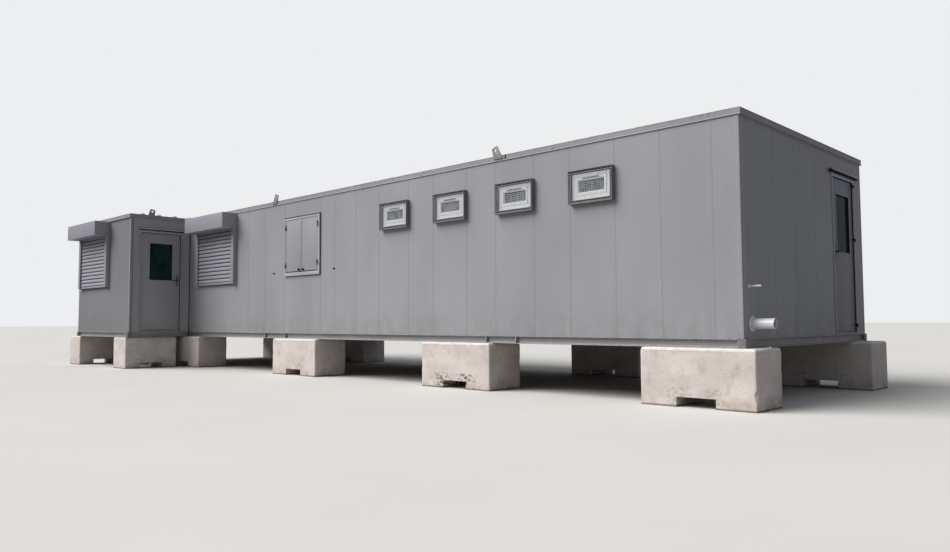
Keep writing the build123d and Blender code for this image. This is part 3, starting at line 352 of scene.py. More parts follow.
@dataclass(frozen=True)
class CoatedSheet(Finish):
    """Factory-coated steel sheet: a satin film with a faint grain, chalked and streaked by rain.

    Attributes:
        dirt: Colour of the road dust and splash that settle on it.
        splash: How much dirt there is near the ground.
        moss: How much moss and grime there is along the top edge.
        inner: For a sheet whose back is lined, its outward direction and how far along it the lining ends.
        worn: Colour of the paint along bare edges, which also serves as a painted highlight on arrises.
    """

    dirt: str = "6f675c"
    splash: float = 0.35
    moss: float = 0.0
    inner: tuple[tuple[float, float, float], float] | None = None
    worn: str = "b9b7ba"

    def make(self) -> Material:
        """Builds the material."""
        material, tree, shader = blank(self.title)
        # Sheets from different coils and a hand-washed film differ by a few percent over about a metre
        broad = patches(tree, (1300.0, 1300.0, 2600.0), 0.35, 0.65, 2.0)
        colour = coat(tree, shade(self.colour, 0.92), shade(self.colour, 1.07), broad, 1.0)
        # Rain leaves pale and dark runs about 40 mm apart
        runs = patches(tree, (42.0, 42.0, 1500.0), 0.48, 0.72, 3.0, 3.0)
        colour = coat(tree, colour, shade(self.colour, 0.8), runs, 0.1)
        chalk = patches(tree, (70.0, 70.0, 2200.0), 0.52, 0.75, 3.0, 7.0)
        colour = coat(tree, colour, shade(self.colour, 1.16), chalk, 0.12)
        fine = patches(tree, (14.0, 14.0, 14.0), 0.3, 0.7, 6.0, 5.0)
        dusty = patches(tree, (160.0, 160.0, 260.0), 0.36, 0.7, 6.0, 1.0)
        low = times(tree, height_band(tree, 80.0, 520.0), dusty)
        colour = coat(tree, colour, linear(self.dirt), low, self.splash)
        if self.moss:
            clumps = patches(tree, (130.0, 130.0, 60.0), 0.3, 0.5, 6.0, 2.0)
            top = times(tree, height_band(tree, 2490.0, 2472.0), clumps)
            colour = coat(tree, colour, linear("4f4a34"), top, self.moss)
            trickles = patches(tree, (26.0, 26.0, 300.0), 0.56, 0.7, 3.0, 8.0)
            drips = times(tree, height_band(tree, 2494.0, 2425.0), trickles)
            colour = coat(tree, colour, linear("5b574c"), drips, self.moss)
        # Paint thins on folds, so arrises read a shade lighter, which is also a painted highlight
        edge = add(tree, "ShaderNodeAttribute", attribute_name="edge_wear_and_painted_light").outputs["Fac"]
        colour = coat(tree, colour, linear(self.worn), times(tree, edge, fine), 0.55)
        # Where the mark is negative, faces are darkened instead as painted shade
        colour = coat(tree, colour, linear("1b1b1d"), edge, -0.85)
        if self.inner:
            out, level = self.inner
            place = add(tree, "ShaderNodeTexCoord").outputs["Object"]
            deep = add(tree, "ShaderNodeVectorMath", {0: place, 1: out}, operation="DOT_PRODUCT").outputs[1]
            ends = (level - MAKER_ORIGIN.dot(Vector(out))) / 1000.0
            back = add(
                tree, "ShaderNodeMapRange", {"Value": deep, "From Min": ends, "From Max": ends - 0.002}
            ).outputs[0]
            # The lining inside is white vinyl-faced board
            colour = coat(tree, colour, linear("dad9d4"), back, 1.0)
        # The grain of the film is 2 to 3 mm, and the thin sheet is never quite flat
        grain = patches(tree, (2.6, 2.6, 2.6), 0.3, 0.7, 2.0)
        self.surface(tree, shader, colour, fine, grain, 0.12)
        shader.inputs["Specular IOR Level"].default_value = 0.42
        return material


@dataclass(frozen=True)
class Enamel(Finish):
    """Brushed machinery enamel over hot-rolled steel: satin, a little uneven, chipped to rust along edges.

    Attributes:
        rust: How much rust shows, from 0 to 1.
    """

    rust: float = 0.5

    def make(self) -> Material:
        """Builds the material."""
        material, tree, shader = blank(self.title)
        broad = patches(tree, (420.0, 420.0, 160.0), 0.3, 0.7, 5.0)
        colour = coat(tree, shade(self.colour, 0.86), shade(self.colour, 1.1), broad, 1.0)
        dust = patches(tree, (90.0, 90.0, 40.0), 0.45, 0.75, 6.0, 4.0)
        colour = coat(tree, colour, linear("8c8273"), dust, 0.35)
        # Marked edges and flanges are lightened: partly thin paint, partly a painted highlight
        edge = add(tree, "ShaderNodeAttribute", attribute_name="edge_wear_and_painted_light").outputs["Fac"]
        thin = patches(tree, (30.0, 30.0, 30.0), 0.35, 0.6, 4.0, 6.0)
        colour = coat(tree, colour, linear("c4c1c0"), times(tree, edge, thin), 0.6)
        chips = patches(tree, (38.0, 38.0, 22.0), 0.64, 0.68, 6.0, 9.0)
        colour = coat(tree, colour, linear("5a3424"), chips, self.rust)
        chipped = times(tree, edge, patches(tree, (16.0, 16.0, 16.0), 0.58, 0.63, 4.0, 2.0))
        colour = coat(tree, colour, linear("6b4330"), chipped, self.rust)
        relief = patches(tree, (5.0, 5.0, 5.0), 0.3, 0.7, 4.0)
        self.surface(tree, shader, colour, dust, relief, 0.25)
        return material


@dataclass(frozen=True)
class Extruded(Finish):
    """Extruded rigid vinyl or moulded pipe: smooth, slightly glossy, off-white, with streaks and spots of
    grime.

    Attributes:
        grime: How much grime it carries.
    """

    grime: float = 0.25

    def make(self) -> Material:
        """Builds the material."""
        material, tree, shader = blank(self.title)
        base = linear(self.colour)
        streaks = patches(tree, (18.0, 18.0, 90.0), 0.5, 0.75, 5.0)
        colour = coat(tree, base, linear("8f8b7f"), streaks, self.grime)
        spots = patches(tree, (6.0, 6.0, 6.0), 0.66, 0.7, 3.0, 3.0)
        colour = coat(tree, colour, linear("6f6a5e"), spots, self.grime)
        soft = patches(tree, (120.0, 120.0, 120.0), 0.3, 0.7, 2.0)
        self.surface(tree, shader, colour, streaks, soft, 0.2)
        shader.inputs["IOR"].default_value = 1.54
        return material


@dataclass(frozen=True)
class Zinc(Finish):
    """Hot-dip galvanised steel, weathered dull: spangles about 12 mm across and white bloom.

    Attributes:
        metal: How much bare metal still shines through the bloom.
        bloom: Colour of the bloom.
        spangle: Width of a spangle in millimetres.
    """

    metal: float = 0.75
    bloom: str = "c9cac8"
    spangle: float = 12.0

    def make(self) -> Material:
        """Builds the material."""
        material, tree, shader = blank(self.title)
        place = add(tree, "ShaderNodeTexCoord").outputs["Object"]
        cells = add(tree, "ShaderNodeTexVoronoi", {"Vector": place, "Scale": 1000.0 / self.spangle})
        tint = add(tree, "ShaderNodeSeparateColor", {0: cells.outputs["Color"]}).outputs[0]
        colour = coat(tree, shade(self.colour, 0.85), shade(self.colour, 1.15), tint, 1.0)
        bloom = patches(tree, (30.0, 30.0, 50.0), 0.45, 0.7, 5.0)
        colour = coat(tree, colour, linear(self.bloom), bloom, 0.5)
        self.surface(tree, shader, colour, bloom, patches(tree, (4.0, 4.0, 4.0), 0.3, 0.7, 3.0), 0.08)
        shader.inputs["Metallic"].default_value = self.metal
        return material


@dataclass(frozen=True)
class Moulded(Finish):
    """Black powder coat on forged fittings, or black rubber: fine texture, with patches of pale dust.

    Attributes:
        dust: How much pale dust lies on it.
    """

    dust: float = 0.3

    def make(self) -> Material:
        """Builds the material."""
        material, tree, shader = blank(self.title)
        film = patches(tree, (22.0, 22.0, 22.0), 0.4, 0.75, 5.0)
        colour = coat(tree, linear(self.colour), linear("77736c"), film, self.dust)
        # Marked edges are lightened as a painted highlight
        edge = add(tree, "ShaderNodeAttribute", attribute_name="edge_wear_and_painted_light").outputs["Fac"]
        colour = coat(tree, colour, shade(self.colour, 2.0), edge, 0.4)
        self.surface(tree, shader, colour, film, patches(tree, (1.6, 1.6, 1.6), 0.3, 0.7, 1.0), 0.08)
        shader.inputs["Specular IOR Level"].default_value = 0.25
        return material


class Pane(Enum):
    """How a pane of glass is made."""

    CLEAR = "clear"
    STIPPLED = "stippled"


@dataclass(frozen=True)
class Glazing(Finish):
    """Float glass: dark in front of an unlit room, or rolled with a stippled face that hides the view.

    Attributes:
        make_of: Clear or stippled.
        slat: Pitch of the blind's slats in metres.
        cell: Width of a rolled cell in millimetres.
    """

    make_of: Pane = Pane.CLEAR
    slat: float = 0.034
    cell: float = 5.0

    def make(self) -> Material:
        """Builds the material."""
        material, tree, shader = blank(self.title)
        film = patches(tree, (90.0, 90.0, 160.0), 0.4, 0.8, 5.0)
        base = linear(self.colour)
        if self.make_of is Pane.CLEAR:
            colour = coat(tree, base, linear("6d736c"), film, 0.06)
            # The blind behind it shows as faint slats
            place = add(tree, "ShaderNodeTexCoord").outputs["Object"]
            z = add(tree, "ShaderNodeSeparateXYZ", {0: place}).outputs[2]
            pace = 2.0 * math.pi / self.slat
            turn = add(tree, "ShaderNodeMath", {0: z, 1: pace}, operation="MULTIPLY").outputs[0]
            wave = add(tree, "ShaderNodeMath", {0: turn}, operation="SINE").outputs[0]
            slats = add(tree, "ShaderNodeMapRange", {"Value": wave, "From Min": 0.1, "From Max": 0.8})
            uneven = patches(tree, (260.0, 260.0, 400.0), 0.3, 0.6, 2.0)
            colour = coat(tree, colour, linear("4b6c6c"), times(tree, slats.outputs[0], uneven), 0.45)
            # A low index keeps the pale studio's reflection out of the dark pane
            shader.inputs["IOR"].default_value = 1.15
            self.surface(tree, shader, colour, film, patches(tree, (700.0, 700.0, 700.0), 0.2, 0.8, 1.0), 0.4)
            shader.inputs["Transmission Weight"].default_value = 0.15
            return material
        colour = coat(tree, base, linear("dfe6e8"), film, 0.4)
        place = add(tree, "ShaderNodeTexCoord").outputs["Object"]
        cells = add(tree, "ShaderNodeTexVoronoi", {"Vector": place, "Scale": 1000.0 / self.cell})
        self.surface(tree, shader, colour, film, cells.outputs["Distance"], 0.8)
        shader.inputs["Transmission Weight"].default_value = 0.25
        return material


@dataclass(frozen=True)
class Cast(Finish):
    """Wet-cast concrete from a steel mould: pale laitance, air holes, stains that creep up from the ground.

    Attributes:
        stain: How strong the stains are.
        hole_pitch: Distance between air holes in millimetres.
    """

    stain: float = 0.55
    hole_pitch: float = 46.0

    def make(self) -> Material:
        """Builds the material."""
        material, tree, shader = blank(self.title)
        broad = patches(tree, (340.0, 340.0, 220.0), 0.32, 0.68, 6.0)
        colour = coat(tree, shade(self.colour, 0.88), shade(self.colour, 1.08), broad, 1.0)
        damp = patches(tree, (90.0, 90.0, 150.0), 0.54, 0.72, 7.0, 4.0)
        colour = coat(tree, colour, linear("9a9084"), damp, self.stain * 0.6)
        creep = patches(tree, (130.0, 130.0, 90.0), 0.42, 0.62, 7.0, 6.0)
        foot = times(tree, height_band(tree, -640.0, -470.0), creep)
        colour = coat(tree, colour, linear("8b7358"), foot, self.stain)
        # The dark band named wet at the foot is painted contact shadow
        wet = height_band(tree, -620.0, -604.0)
        colour = coat(tree, colour, linear("4d463d"), wet, 0.8)
        # The rounded upper edges are lightened, partly a hard pale skin and partly a painted highlight, with
        # a darker band just below them
        dusty = patches(tree, (90.0, 90.0, 30.0), 0.35, 0.6, 5.0, 5.0)
        line = times(tree, height_band(tree, -34.0, -52.0), dusty)
        colour = coat(tree, colour, linear("8f8a86"), line, 0.4)
        skin = patches(tree, (60.0, 60.0, 30.0), 0.25, 0.5, 5.0, 8.0)
        rim = times(tree, height_band(tree, -26.0, -36.0), skin)
        colour = coat(tree, colour, linear("efeae5"), rim, 0.65)
        # Aggregate shows where the arrises of the fork slot have broken away
        edge = add(tree, "ShaderNodeAttribute", attribute_name="edge_wear_and_painted_light").outputs["Fac"]
        spalled = times(tree, edge, patches(tree, (52.0, 52.0, 34.0), 0.5, 0.56, 5.0, 3.0))
        colour = coat(tree, colour, linear("5c544b"), spalled, 1.0)
        place = add(tree, "ShaderNodeTexCoord").outputs["Object"]
        # Air holes are 3 to 10 mm across, drawn at 9 mm so that they show
        holes = add(tree, "ShaderNodeTexVoronoi", {"Vector": place, "Scale": 1000.0 / self.hole_pitch})
        near = holes.outputs["Distance"]
        pits = add(tree, "ShaderNodeMapRange", {"Value": near, "From Min": 0.13, "From Max": 0.07})
        rare = times(tree, pits.outputs[0], patches(tree, (90.0, 90.0, 90.0), 0.45, 0.55, 2.0, 5.0))
        colour = coat(tree, colour, linear("5f584d"), rare, 0.8)
        sand = patches(tree, (3.0, 3.0, 3.0), 0.25, 0.75, 5.0)
        colour = coat(tree, colour, linear("9a9184"), sand, 0.14)
        rough = patches(tree, (26.0, 26.0, 26.0), 0.2, 0.8, 8.0, 2.0)
        level = add(tree, "ShaderNodeMath", {0: rough, 1: rare}, operation="SUBTRACT").outputs[0]
        self.surface(tree, shader, colour, broad, level, 2.2)
        shader.inputs["Specular IOR Level"].default_value = 0.3
        return material


@dataclass(frozen=True)
class Board(Finish):
    """Birch-faced plywood laid as a floor: long grain, trodden dust."""

    def make(self) -> Material:
        """Builds the material."""
        material, tree, shader = blank(self.title)
        grain = patches(tree, (700.0, 9.0, 9.0), 0.3, 0.7, 6.0)
        colour = coat(tree, shade(self.colour, 0.8), shade(self.colour, 1.2), grain, 1.0)
        tread = patches(tree, (500.0, 400.0, 400.0), 0.4, 0.7, 4.0, 3.0)
        colour = coat(tree, colour, linear("7d776c"), tread, 0.5)
        self.surface(tree, shader, colour, tread, grain, 0.3)
        return material


@dataclass(frozen=True)
class Lichen(Finish):
    """Moss, lichen and roof silt that gather on a flat edge: matt, pale green-white crust over dark silt."""

    def make(self) -> Material:
        """Builds the material."""
        material, tree, shader = blank(self.title)
        crust = patches(tree, (60.0, 60.0, 20.0), 0.36, 0.48, 7.0)
        colour = coat(tree, linear("3a3626"), linear(self.colour), crust, 1.0)
        green = patches(tree, (170.0, 170.0, 60.0), 0.48, 0.6, 5.0, 4.0)
        colour = coat(tree, colour, linear("6d7048"), green, 0.7)
        self.surface(tree, shader, colour, crust, patches(tree, (7.0, 7.0, 7.0), 0.2, 0.8, 6.0), 3.0)
        return material


# Meshes


def soften(profile: Sequence[Point], radius: float, steps: int = 2) -> list[tuple[float, float]]:
    """Rounds the corners of a closed outline.

    Args:
        profile: Corners of the outline, in order.
        radius: Distance from a corner at which its rounding starts.
        steps: Straight pieces that make each rounding.

    Returns:
        The corners of the rounded outline.
    """
    done = []
    for i, corner in enumerate(profile):
        here = Vector(corner)
        before, after = Vector(profile[i - 1]) - here, Vector(profile[(i + 1) % len(profile)]) - here
        cut = min(radius, before.length * 0.45, after.length * 0.45)
        start, end = here + before.normalized() * cut, here + after.normalized() * cut
        for n in range(steps + 1):
            t = n / steps
            done.append(tuple(start * (1 - t) ** 2 + here * 2 * t * (1 - t) + end * t * t))
    return done


def rectangle(low: Point, high: Point, plane: Vector, level: float) -> list[Vector]:
    """Corners of an upright rectangle, counter-clockwise as seen from its front.

    Args:
        low: Lower left corner, as distance along the wall and height.
        high: Upper right corner in the same way.
        plane: Direction that the rectangle faces, FRONT or RIGHT_END.
        level: Y of a rectangle that faces FRONT, or X of one that faces RIGHT_END.

    Returns:
        Its four corners.
    """
    corners = ((low[0], low[1]), (high[0], low[1]), (high[0], high[1]), (low[0], high[1]))
    if plane == FRONT:
        return [Vector((a, level, z)) for a, z in corners]
    return [Vector((level, a, z)) for a, z in corners]


class Form:
    """A piece in the making: one closed mesh or several, in maker's millimetres."""

    def __init__(self, name: str, nodes: Iterable[str] = (), edge: float = 0.0, steps: int = 2) -> None:
        """Starts empty, or from CAD nodes with their arrises rounded.

        Args:
            name: The piece's name.
            nodes: CAD nodes whose merged shape the piece starts from.
            edge: Width of the rounding on their arrises.
            steps: Straight pieces that make each rounding.
        """
        self.name = name
        self.nodes = tuple(nodes)
        self.bm = bmesh.new()
        for node in self.nodes:
            self.bm.from_mesh(frame["nodes"][node].data)
        if self.nodes:
            bmesh.ops.transform(self.bm, matrix=FROM_SITE, verts=self.bm.verts)
            bmesh.ops.remove_doubles(self.bm, verts=self.bm.verts, dist=0.01)
            bmesh.ops.dissolve_limit(
                self.bm, angle_limit=math.radians(1.0), verts=self.bm.verts, edges=self.bm.edges
            )
        # The layer marks worn edges, and also where a painted highlight or painted shade goes
        self.wear_and_light = self.bm.faces.layers.float.new("edge_wear_and_painted_light")
        if self.nodes and edge:
            self.round_edges(self.bm.edges, edge, steps)

    def round_edges(self, edges: Iterable[bmesh.types.BMEdge], width: float, steps: int) -> None:
        """Rounds sharp edges and marks the rounding as worn, which the finishes also lighten as a painted
        highlight.

        Args:
            edges: The edges to look at; only those that turn by more than 30 degrees are rounded.
            width: Width of the rounding.
            steps: Straight pieces that make it.
        """
        sharp = [e for e in edges if e.is_manifold and abs(e.calc_face_angle(0.0)) > math.radians(30.0)]
        made = bmesh.ops.bevel(
            self.bm, geom=sharp, offset=width, segments=steps, profile=0.5, affect="EDGES", clamp_overlap=True
        )
        for face in made["faces"]:
            face[self.wear_and_light] = 1.0

    def block(self, low: Point, high: Point, edge: float = 1.5, steps: int = 2) -> Form:
        """Adds a rectangular piece with rounded arrises.

        Args:
            low: Its lowest corner.
            high: Its highest corner.
            edge: Width of the rounding.
            steps: Straight pieces that make it.

        Returns:
            The form itself.
        """
        a, b = Vector(low), Vector(high)
        shape = Matrix.Translation((a + b) / 2) @ Matrix.Diagonal((*(b - a), 1.0))
        verts = bmesh.ops.create_cube(self.bm, size=1.0, matrix=shape)["verts"]
        # A dict keeps the edges in order, so that every run gives the same mesh
        self.round_edges(dict.fromkeys(e for v in verts for e in v.link_edges), edge, steps)
        return self

    def sweep(
        self, profile: Sequence[Point], path: Sequence[Vector], facing: Vector, closed: bool = True
    ) -> Form:
        """Runs a closed outline along a flat path with mitred corners.

        Args:
            profile: The outline, as distance to the right of the path and along the facing direction.
            path: Corners of the path.
            facing: Direction at right angles to the path's plane.
            closed: Whether the path ends where it starts.

        Returns:
            The form itself.
        """
        rings = []
        for i, here in enumerate(path):
            sides = []
            if closed or i > 0:
                sides.append((here - path[i - 1]).normalized().cross(facing))
            if closed or i < len(path) - 1:
                sides.append((path[(i + 1) % len(path)] - here).normalized().cross(facing))
            mitre = (sides[0] + sides[-1]) / (1.0 + sides[0].dot(sides[-1]))
            rings.append([self.bm.verts.new(here + mitre * u + facing * v) for u, v in profile])
        count = len(profile)
        for i in range(len(rings) if closed else len(rings) - 1):
            ring, following = rings[i], rings[(i + 1) % len(rings)]
            for k in range(count):
                m = (k + 1) % count
                face = self.bm.faces.new((ring[k], ring[m], following[m], following[k]))
                width = math.dist(profile[k], profile[m])
                # Narrow faces are marked as worn edges, which also take a painted highlight
                face[self.wear_and_light] = 1.0 if width < 2.5 else 0.0
        if not closed:
            self.bm.faces.new(rings[0])
            self.bm.faces.new(rings[-1])
        return self

    def lathe(self, profile: Sequence[Point], centre: Point, axis: Vector, steps: int = 40) -> Form:
        """Turns an outline about an axis.

        Args:
            profile: Points as distance along the axis and radius. It closes by itself, or by a radius
                of 0 at both of its ends.
            centre: Where distance 0 is.
            axis: Direction of the axis.
            steps: Flats around the circle.

        Returns:
            The form itself.
        """
        across = axis.orthogonal().normalized()
        around = axis.cross(across)
        rows = []
        for along, radius in profile:
            middle = Vector(centre) + axis * along
            if radius < 1e-6:
                rows.append([self.bm.verts.new(middle)] * steps)
                continue
            angles = [2 * math.pi * n / steps for n in range(steps)]
            spokes = [across * math.cos(a) + around * math.sin(a) for a in angles]
            rows.append([self.bm.verts.new(middle + radius * spoke) for spoke in spokes])
        ends_on_axis = profile[0][1] < 1e-6
        for i in range(len(rows) - 1 if ends_on_axis else len(rows)):
            a, b = rows[i], rows[(i + 1) % len(rows)]
            for n in range(steps):
                m = (n + 1) % steps
                ring = list(dict.fromkeys((a[n], a[m], b[m], b[n])))
                self.bm.faces.new(ring)
        return self

    def prism(self, plan: Sequence[Point], low: float, high: float) -> Form:
        """Raises a closed outline in plan from one height to another."""
        path = [Vector((0.0, 0.0, low)), Vector((0.0, 0.0, high))]
        return self.sweep([(x, -y) for x, y in plan], path, FRONT, False)

    def cut(self, *planes: tuple[Vector, float]) -> Form:
        """Divides faces along planes.

        Args:
            planes: For each plane its direction and its distance along it.

        Returns:
            The form itself.
        """
        for way, level in planes:
            parts = [*self.bm.verts, *self.bm.edges, *self.bm.faces]
            bmesh.ops.bisect_plane(self.bm, geom=parts, plane_co=way * level, plane_no=way)
        return self

    def mark(self, wear_and_light: float, test: Callable[[Vector], bool]) -> Form:
        """Sets on the faces whose middle passes a test how worn they are, or how much painted highlight or
        painted shade they take.

        Args:
            wear_and_light: From 1 for bare edges, which also take a painted highlight, to -1 for painted
                shade.
            test: Takes a face's middle.

        Returns:
            The form itself.
        """
        for face in self.bm.faces:
            if test(face.calc_center_median()):
                face[self.wear_and_light] = wear_and_light
        return self

    def tint(self, test: Callable[[Vector], bool], finish: int = 1) -> Form:
        """Gives another of the finishes to the faces whose middle passes a test.

        Args:
            test: Takes a face's middle.
            finish: Number of the finish, counted from 0.

        Returns:
            The form itself.
        """
        for face in self.bm.faces:
            if test(face.calc_center_median()):
                face.material_index = finish
        return self

    def mesh(self) -> Mesh:
        """Turns the form into a mesh, with its faces outwards and its parts in a fixed order.

        Returns:
            The mesh, in maker's millimetres.
        """
        # Bevels and cuts leave their parts in an order that differs from run to run
        corners = {v: tuple(v.co) for v in self.bm.verts}
        middles = {f: tuple(f.calc_center_median()) for f in self.bm.faces}
        for parts, places in ((self.bm.verts, corners), (self.bm.faces, middles)):
            ranks = {part: rank for rank, part in enumerate(sorted(places, key=places.get))}
            parts.sort(key=ranks.get)
        bmesh.ops.recalc_face_normals(self.bm, faces=self.bm.faces)
        data = bpy.data.meshes.new(self.name)
        self.bm.to_mesh(data)
        self.bm.free()
        return data

    def done(
        self,
        *finishes: Material,
        body: str = "cabin",
        replaces: Iterable[str] = (),
        slot: str = "",
        smooth: float = 32.0,
    ) -> bpy.types.Object:
        """Finishes the piece and lets it ride on its body.

        Args:
            finishes: Its material, and the one of its tinted faces.
            body: The body that it moves with.
            replaces: CAD nodes that it stands for, besides those that it started from.
            slot: Not used.
            smooth: Edges that turn by more than this many degrees stay sharp.

        Returns:
            The piece's object.
        """
        data = self.mesh()
        for finish in finishes:
            data.materials.append(finish)
        return placed(self.name, data, body, (*self.nodes, *replaces), smooth)


def placed(
    name: str, data: Mesh, body: str, replaces: Iterable[str], smooth: float = 32.0
) -> bpy.types.Object:
    """Puts a mesh in maker's millimetres on the site as a piece.

    Args:
        name: The piece's name.
        data: Its mesh, with its material.
        body: The body that it moves with.
        replaces: CAD nodes that it stands for.
        smooth: Edges that turn by more than this many degrees stay sharp.

    Returns:
        The piece's object.
    """
    data.transform(TO_SITE)
    data.polygons.foreach_set("use_smooth", [True] * len(data.polygons))
    data.set_sharp_from_angle(angle=math.radians(smooth))
    piece = bpy.data.objects.new(name, data)
    bpy.context.scene.collection.objects.link(piece)
    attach(piece, body)
    if replaces:
        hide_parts(*replaces)
    return piece


def dress(finish: Material, *nodes: str) -> None:
    """Gives CAD nodes that stay a finish.

    Args:
        finish: The finish.
        nodes: Names of the CAD nodes.
    """
    for node in nodes:
        data = frame["nodes"][node].data
        data.materials.clear()
        data.materials.append(finish)


# Rules for what repeats


class Rule:
    """A Geometry Nodes tree with named inputs, which is run once and leaves a plain mesh."""

    def __init__(self, name: str, inputs: dict[str, str]) -> None:
        """Starts the tree.

        Args:
            name: Its name.
            inputs: For each named input, the kind of its socket.
        """
        self.tree = bpy.data.node_groups.new(name, "GeometryNodeTree")
        face = self.tree.interface
        face.new_socket(name="Geometry", in_out="INPUT", socket_type="NodeSocketGeometry")
        face.new_socket(name="Geometry", in_out="OUTPUT", socket_type="NodeSocketGeometry")
        for title, kind in {**inputs, "Finish": "NodeSocketMaterial"}.items():
            face.new_socket(name=title, in_out="INPUT", socket_type=kind)
        self.given = add(self.tree, "NodeGroupInput").outputs

    def end(self, geometry: Socket) -> None:
        """Ends the tree: the instances become real and get their finish."""
        real = add(self.tree, "GeometryNodeRealizeInstances", {0: geometry})
        coated = add(
            self.tree,
            "GeometryNodeSetMaterial",
            {"Geometry": real.outputs[0], "Material": self.given["Finish"]},
        )
        add(self.tree, "NodeGroupOutput", {0: coated.outputs[0]})

    def run(self, seed: Mesh, **values: object) -> Mesh:
        """Runs the tree on a mesh.

        Args:
            seed: The mesh that the tree starts from, in maker's millimetres.
            values: A value for each named input, with _ for a space.

        Returns:
            The plain mesh that it gives.
        """
        holder = bpy.data.objects.new("holder", seed)
        bpy.context.scene.collection.objects.link(holder)
        modifier = holder.modifiers.new("rule", "NODES")
        modifier.node_group = self.tree
        named = {title.replace("_", " "): value for title, value in values.items()}
        for item in self.tree.interface.items_tree:
            if item.item_type == "SOCKET" and item.in_out == "INPUT" and item.name in named:
                modifier[item.identifier] = named[item.name]
        graph = bpy.context.evaluated_depsgraph_get()
        result = bpy.data.meshes.new_from_object(holder.evaluated_get(graph), depsgraph=graph)
        bpy.data.objects.remove(holder)
        return result


class Rows(Rule):
    """Repeats a shape in columns and rows, each copy turned a little at random."""

    def __init__(self) -> None:
        """Builds the tree."""
        super().__init__(
            "rows_of_one_shape",
            {
                "Columns": "NodeSocketInt",
                "Column step": "NodeSocketVector",
                "Rows": "NodeSocketInt",
                "Row step": "NodeSocketVector",
                "Turn": "NodeSocketVector",
                "Seed": "NodeSocketInt",
            },
        )
        tree, given = self.tree, self.given
        line, rung = (
            add(tree, "GeometryNodeMeshLine", {"Count": given[count], "Offset": given[step]}, mode="OFFSET")
            for count, step in (("Columns", "Column step"), ("Rows", "Row step"))
        )
        grid = add(
            tree, "GeometryNodeInstanceOnPoints", {"Points": line.outputs[0], "Instance": rung.outputs[0]}
        )
        real = add(tree, "GeometryNodeRealizeInstances", {0: grid.outputs[0]})
        back = add(tree, "ShaderNodeVectorMath", {0: given["Turn"], "Scale": -1.0}, operation="SCALE")
        turn = add(
            tree,
            "FunctionNodeRandomValue",
            {"Min": back.outputs[0], "Max": given["Turn"], "Seed": given["Seed"]},
            data_type="FLOAT_VECTOR",
        )
        copies = add(
            tree,
            "GeometryNodeInstanceOnPoints",
            {"Points": real.outputs[0], "Instance": given["Geometry"], "Rotation": turn.outputs[0]},
        )
        self.end(copies.outputs[0])


class WeldedMesh(Rule):
    """Wires welded at right angles over an opening, one sheet at each point of the mesh it is given."""

    def __init__(self) -> None:
        """Builds the tree."""
        super().__init__("welded_mesh", {n: "NodeSocketFloat" for n in ("Width", "Height", "Pitch", "Wire")})
        tree, given = self.tree, self.given
        radius = add(tree, "ShaderNodeMath", {0: given["Wire"], 1: 0.5}, operation="MULTIPLY").outputs[0]
        section = add(tree, "GeometryNodeCurvePrimitiveCircle", {"Resolution": 6, "Radius": radius})
        sheets = []
        for along, across, way, level in (("Width", "Height", 0, 0.0), ("Height", "Width", 2, 1.0)):
            end = add(tree, "ShaderNodeCombineXYZ", {way: given[along]})
            wire = add(tree, "GeometryNodeCurvePrimitiveLine", {"End": end.outputs[0]})
            round_wire = add(
                tree,
                "GeometryNodeCurveToMesh",
                {"Curve": wire.outputs[0], "Profile Curve": section.outputs[0], "Fill Caps": True},
            )
            share = add(tree, "ShaderNodeMath", {0: given[across], 1: given["Pitch"]}, operation="DIVIDE")
            count = add(tree, "ShaderNodeMath", {0: share.outputs[0]}, operation="FLOOR")
            step = add(tree, "ShaderNodeCombineXYZ", {2 - way: given["Pitch"]})
            half = add(tree, "ShaderNodeVectorMath", {0: step.outputs[0], "Scale": 0.5}, operation="SCALE")
            behind = add(tree, "ShaderNodeMath", {0: given["Wire"], 1: level}, operation="MULTIPLY")
            back = add(tree, "ShaderNodeCombineXYZ", {1: behind.outputs[0]})
            start = add(
                tree, "ShaderNodeVectorMath", {0: half.outputs[0], 1: back.outputs[0]}, operation="ADD"
            )
            places = add(
                tree,
                "GeometryNodeMeshLine",
                {"Count": count.outputs[0], "Start Location": start.outputs[0], "Offset": step.outputs[0]},
                mode="OFFSET",
            )
            row = add(
                tree,
                "GeometryNodeInstanceOnPoints",
                {"Points": places.outputs[0], "Instance": round_wire.outputs[0]},
            )
            sheets.append(row.outputs[0])
        both = add(tree, "GeometryNodeJoinGeometry", {0: sheets[0]})
        tree.links.new(sheets[1], both.inputs[0])
        spread = add(
            tree, "GeometryNodeInstanceOnPoints", {"Points": given["Geometry"], "Instance": both.outputs[0]}
        )
        self.end(spread.outputs[0])


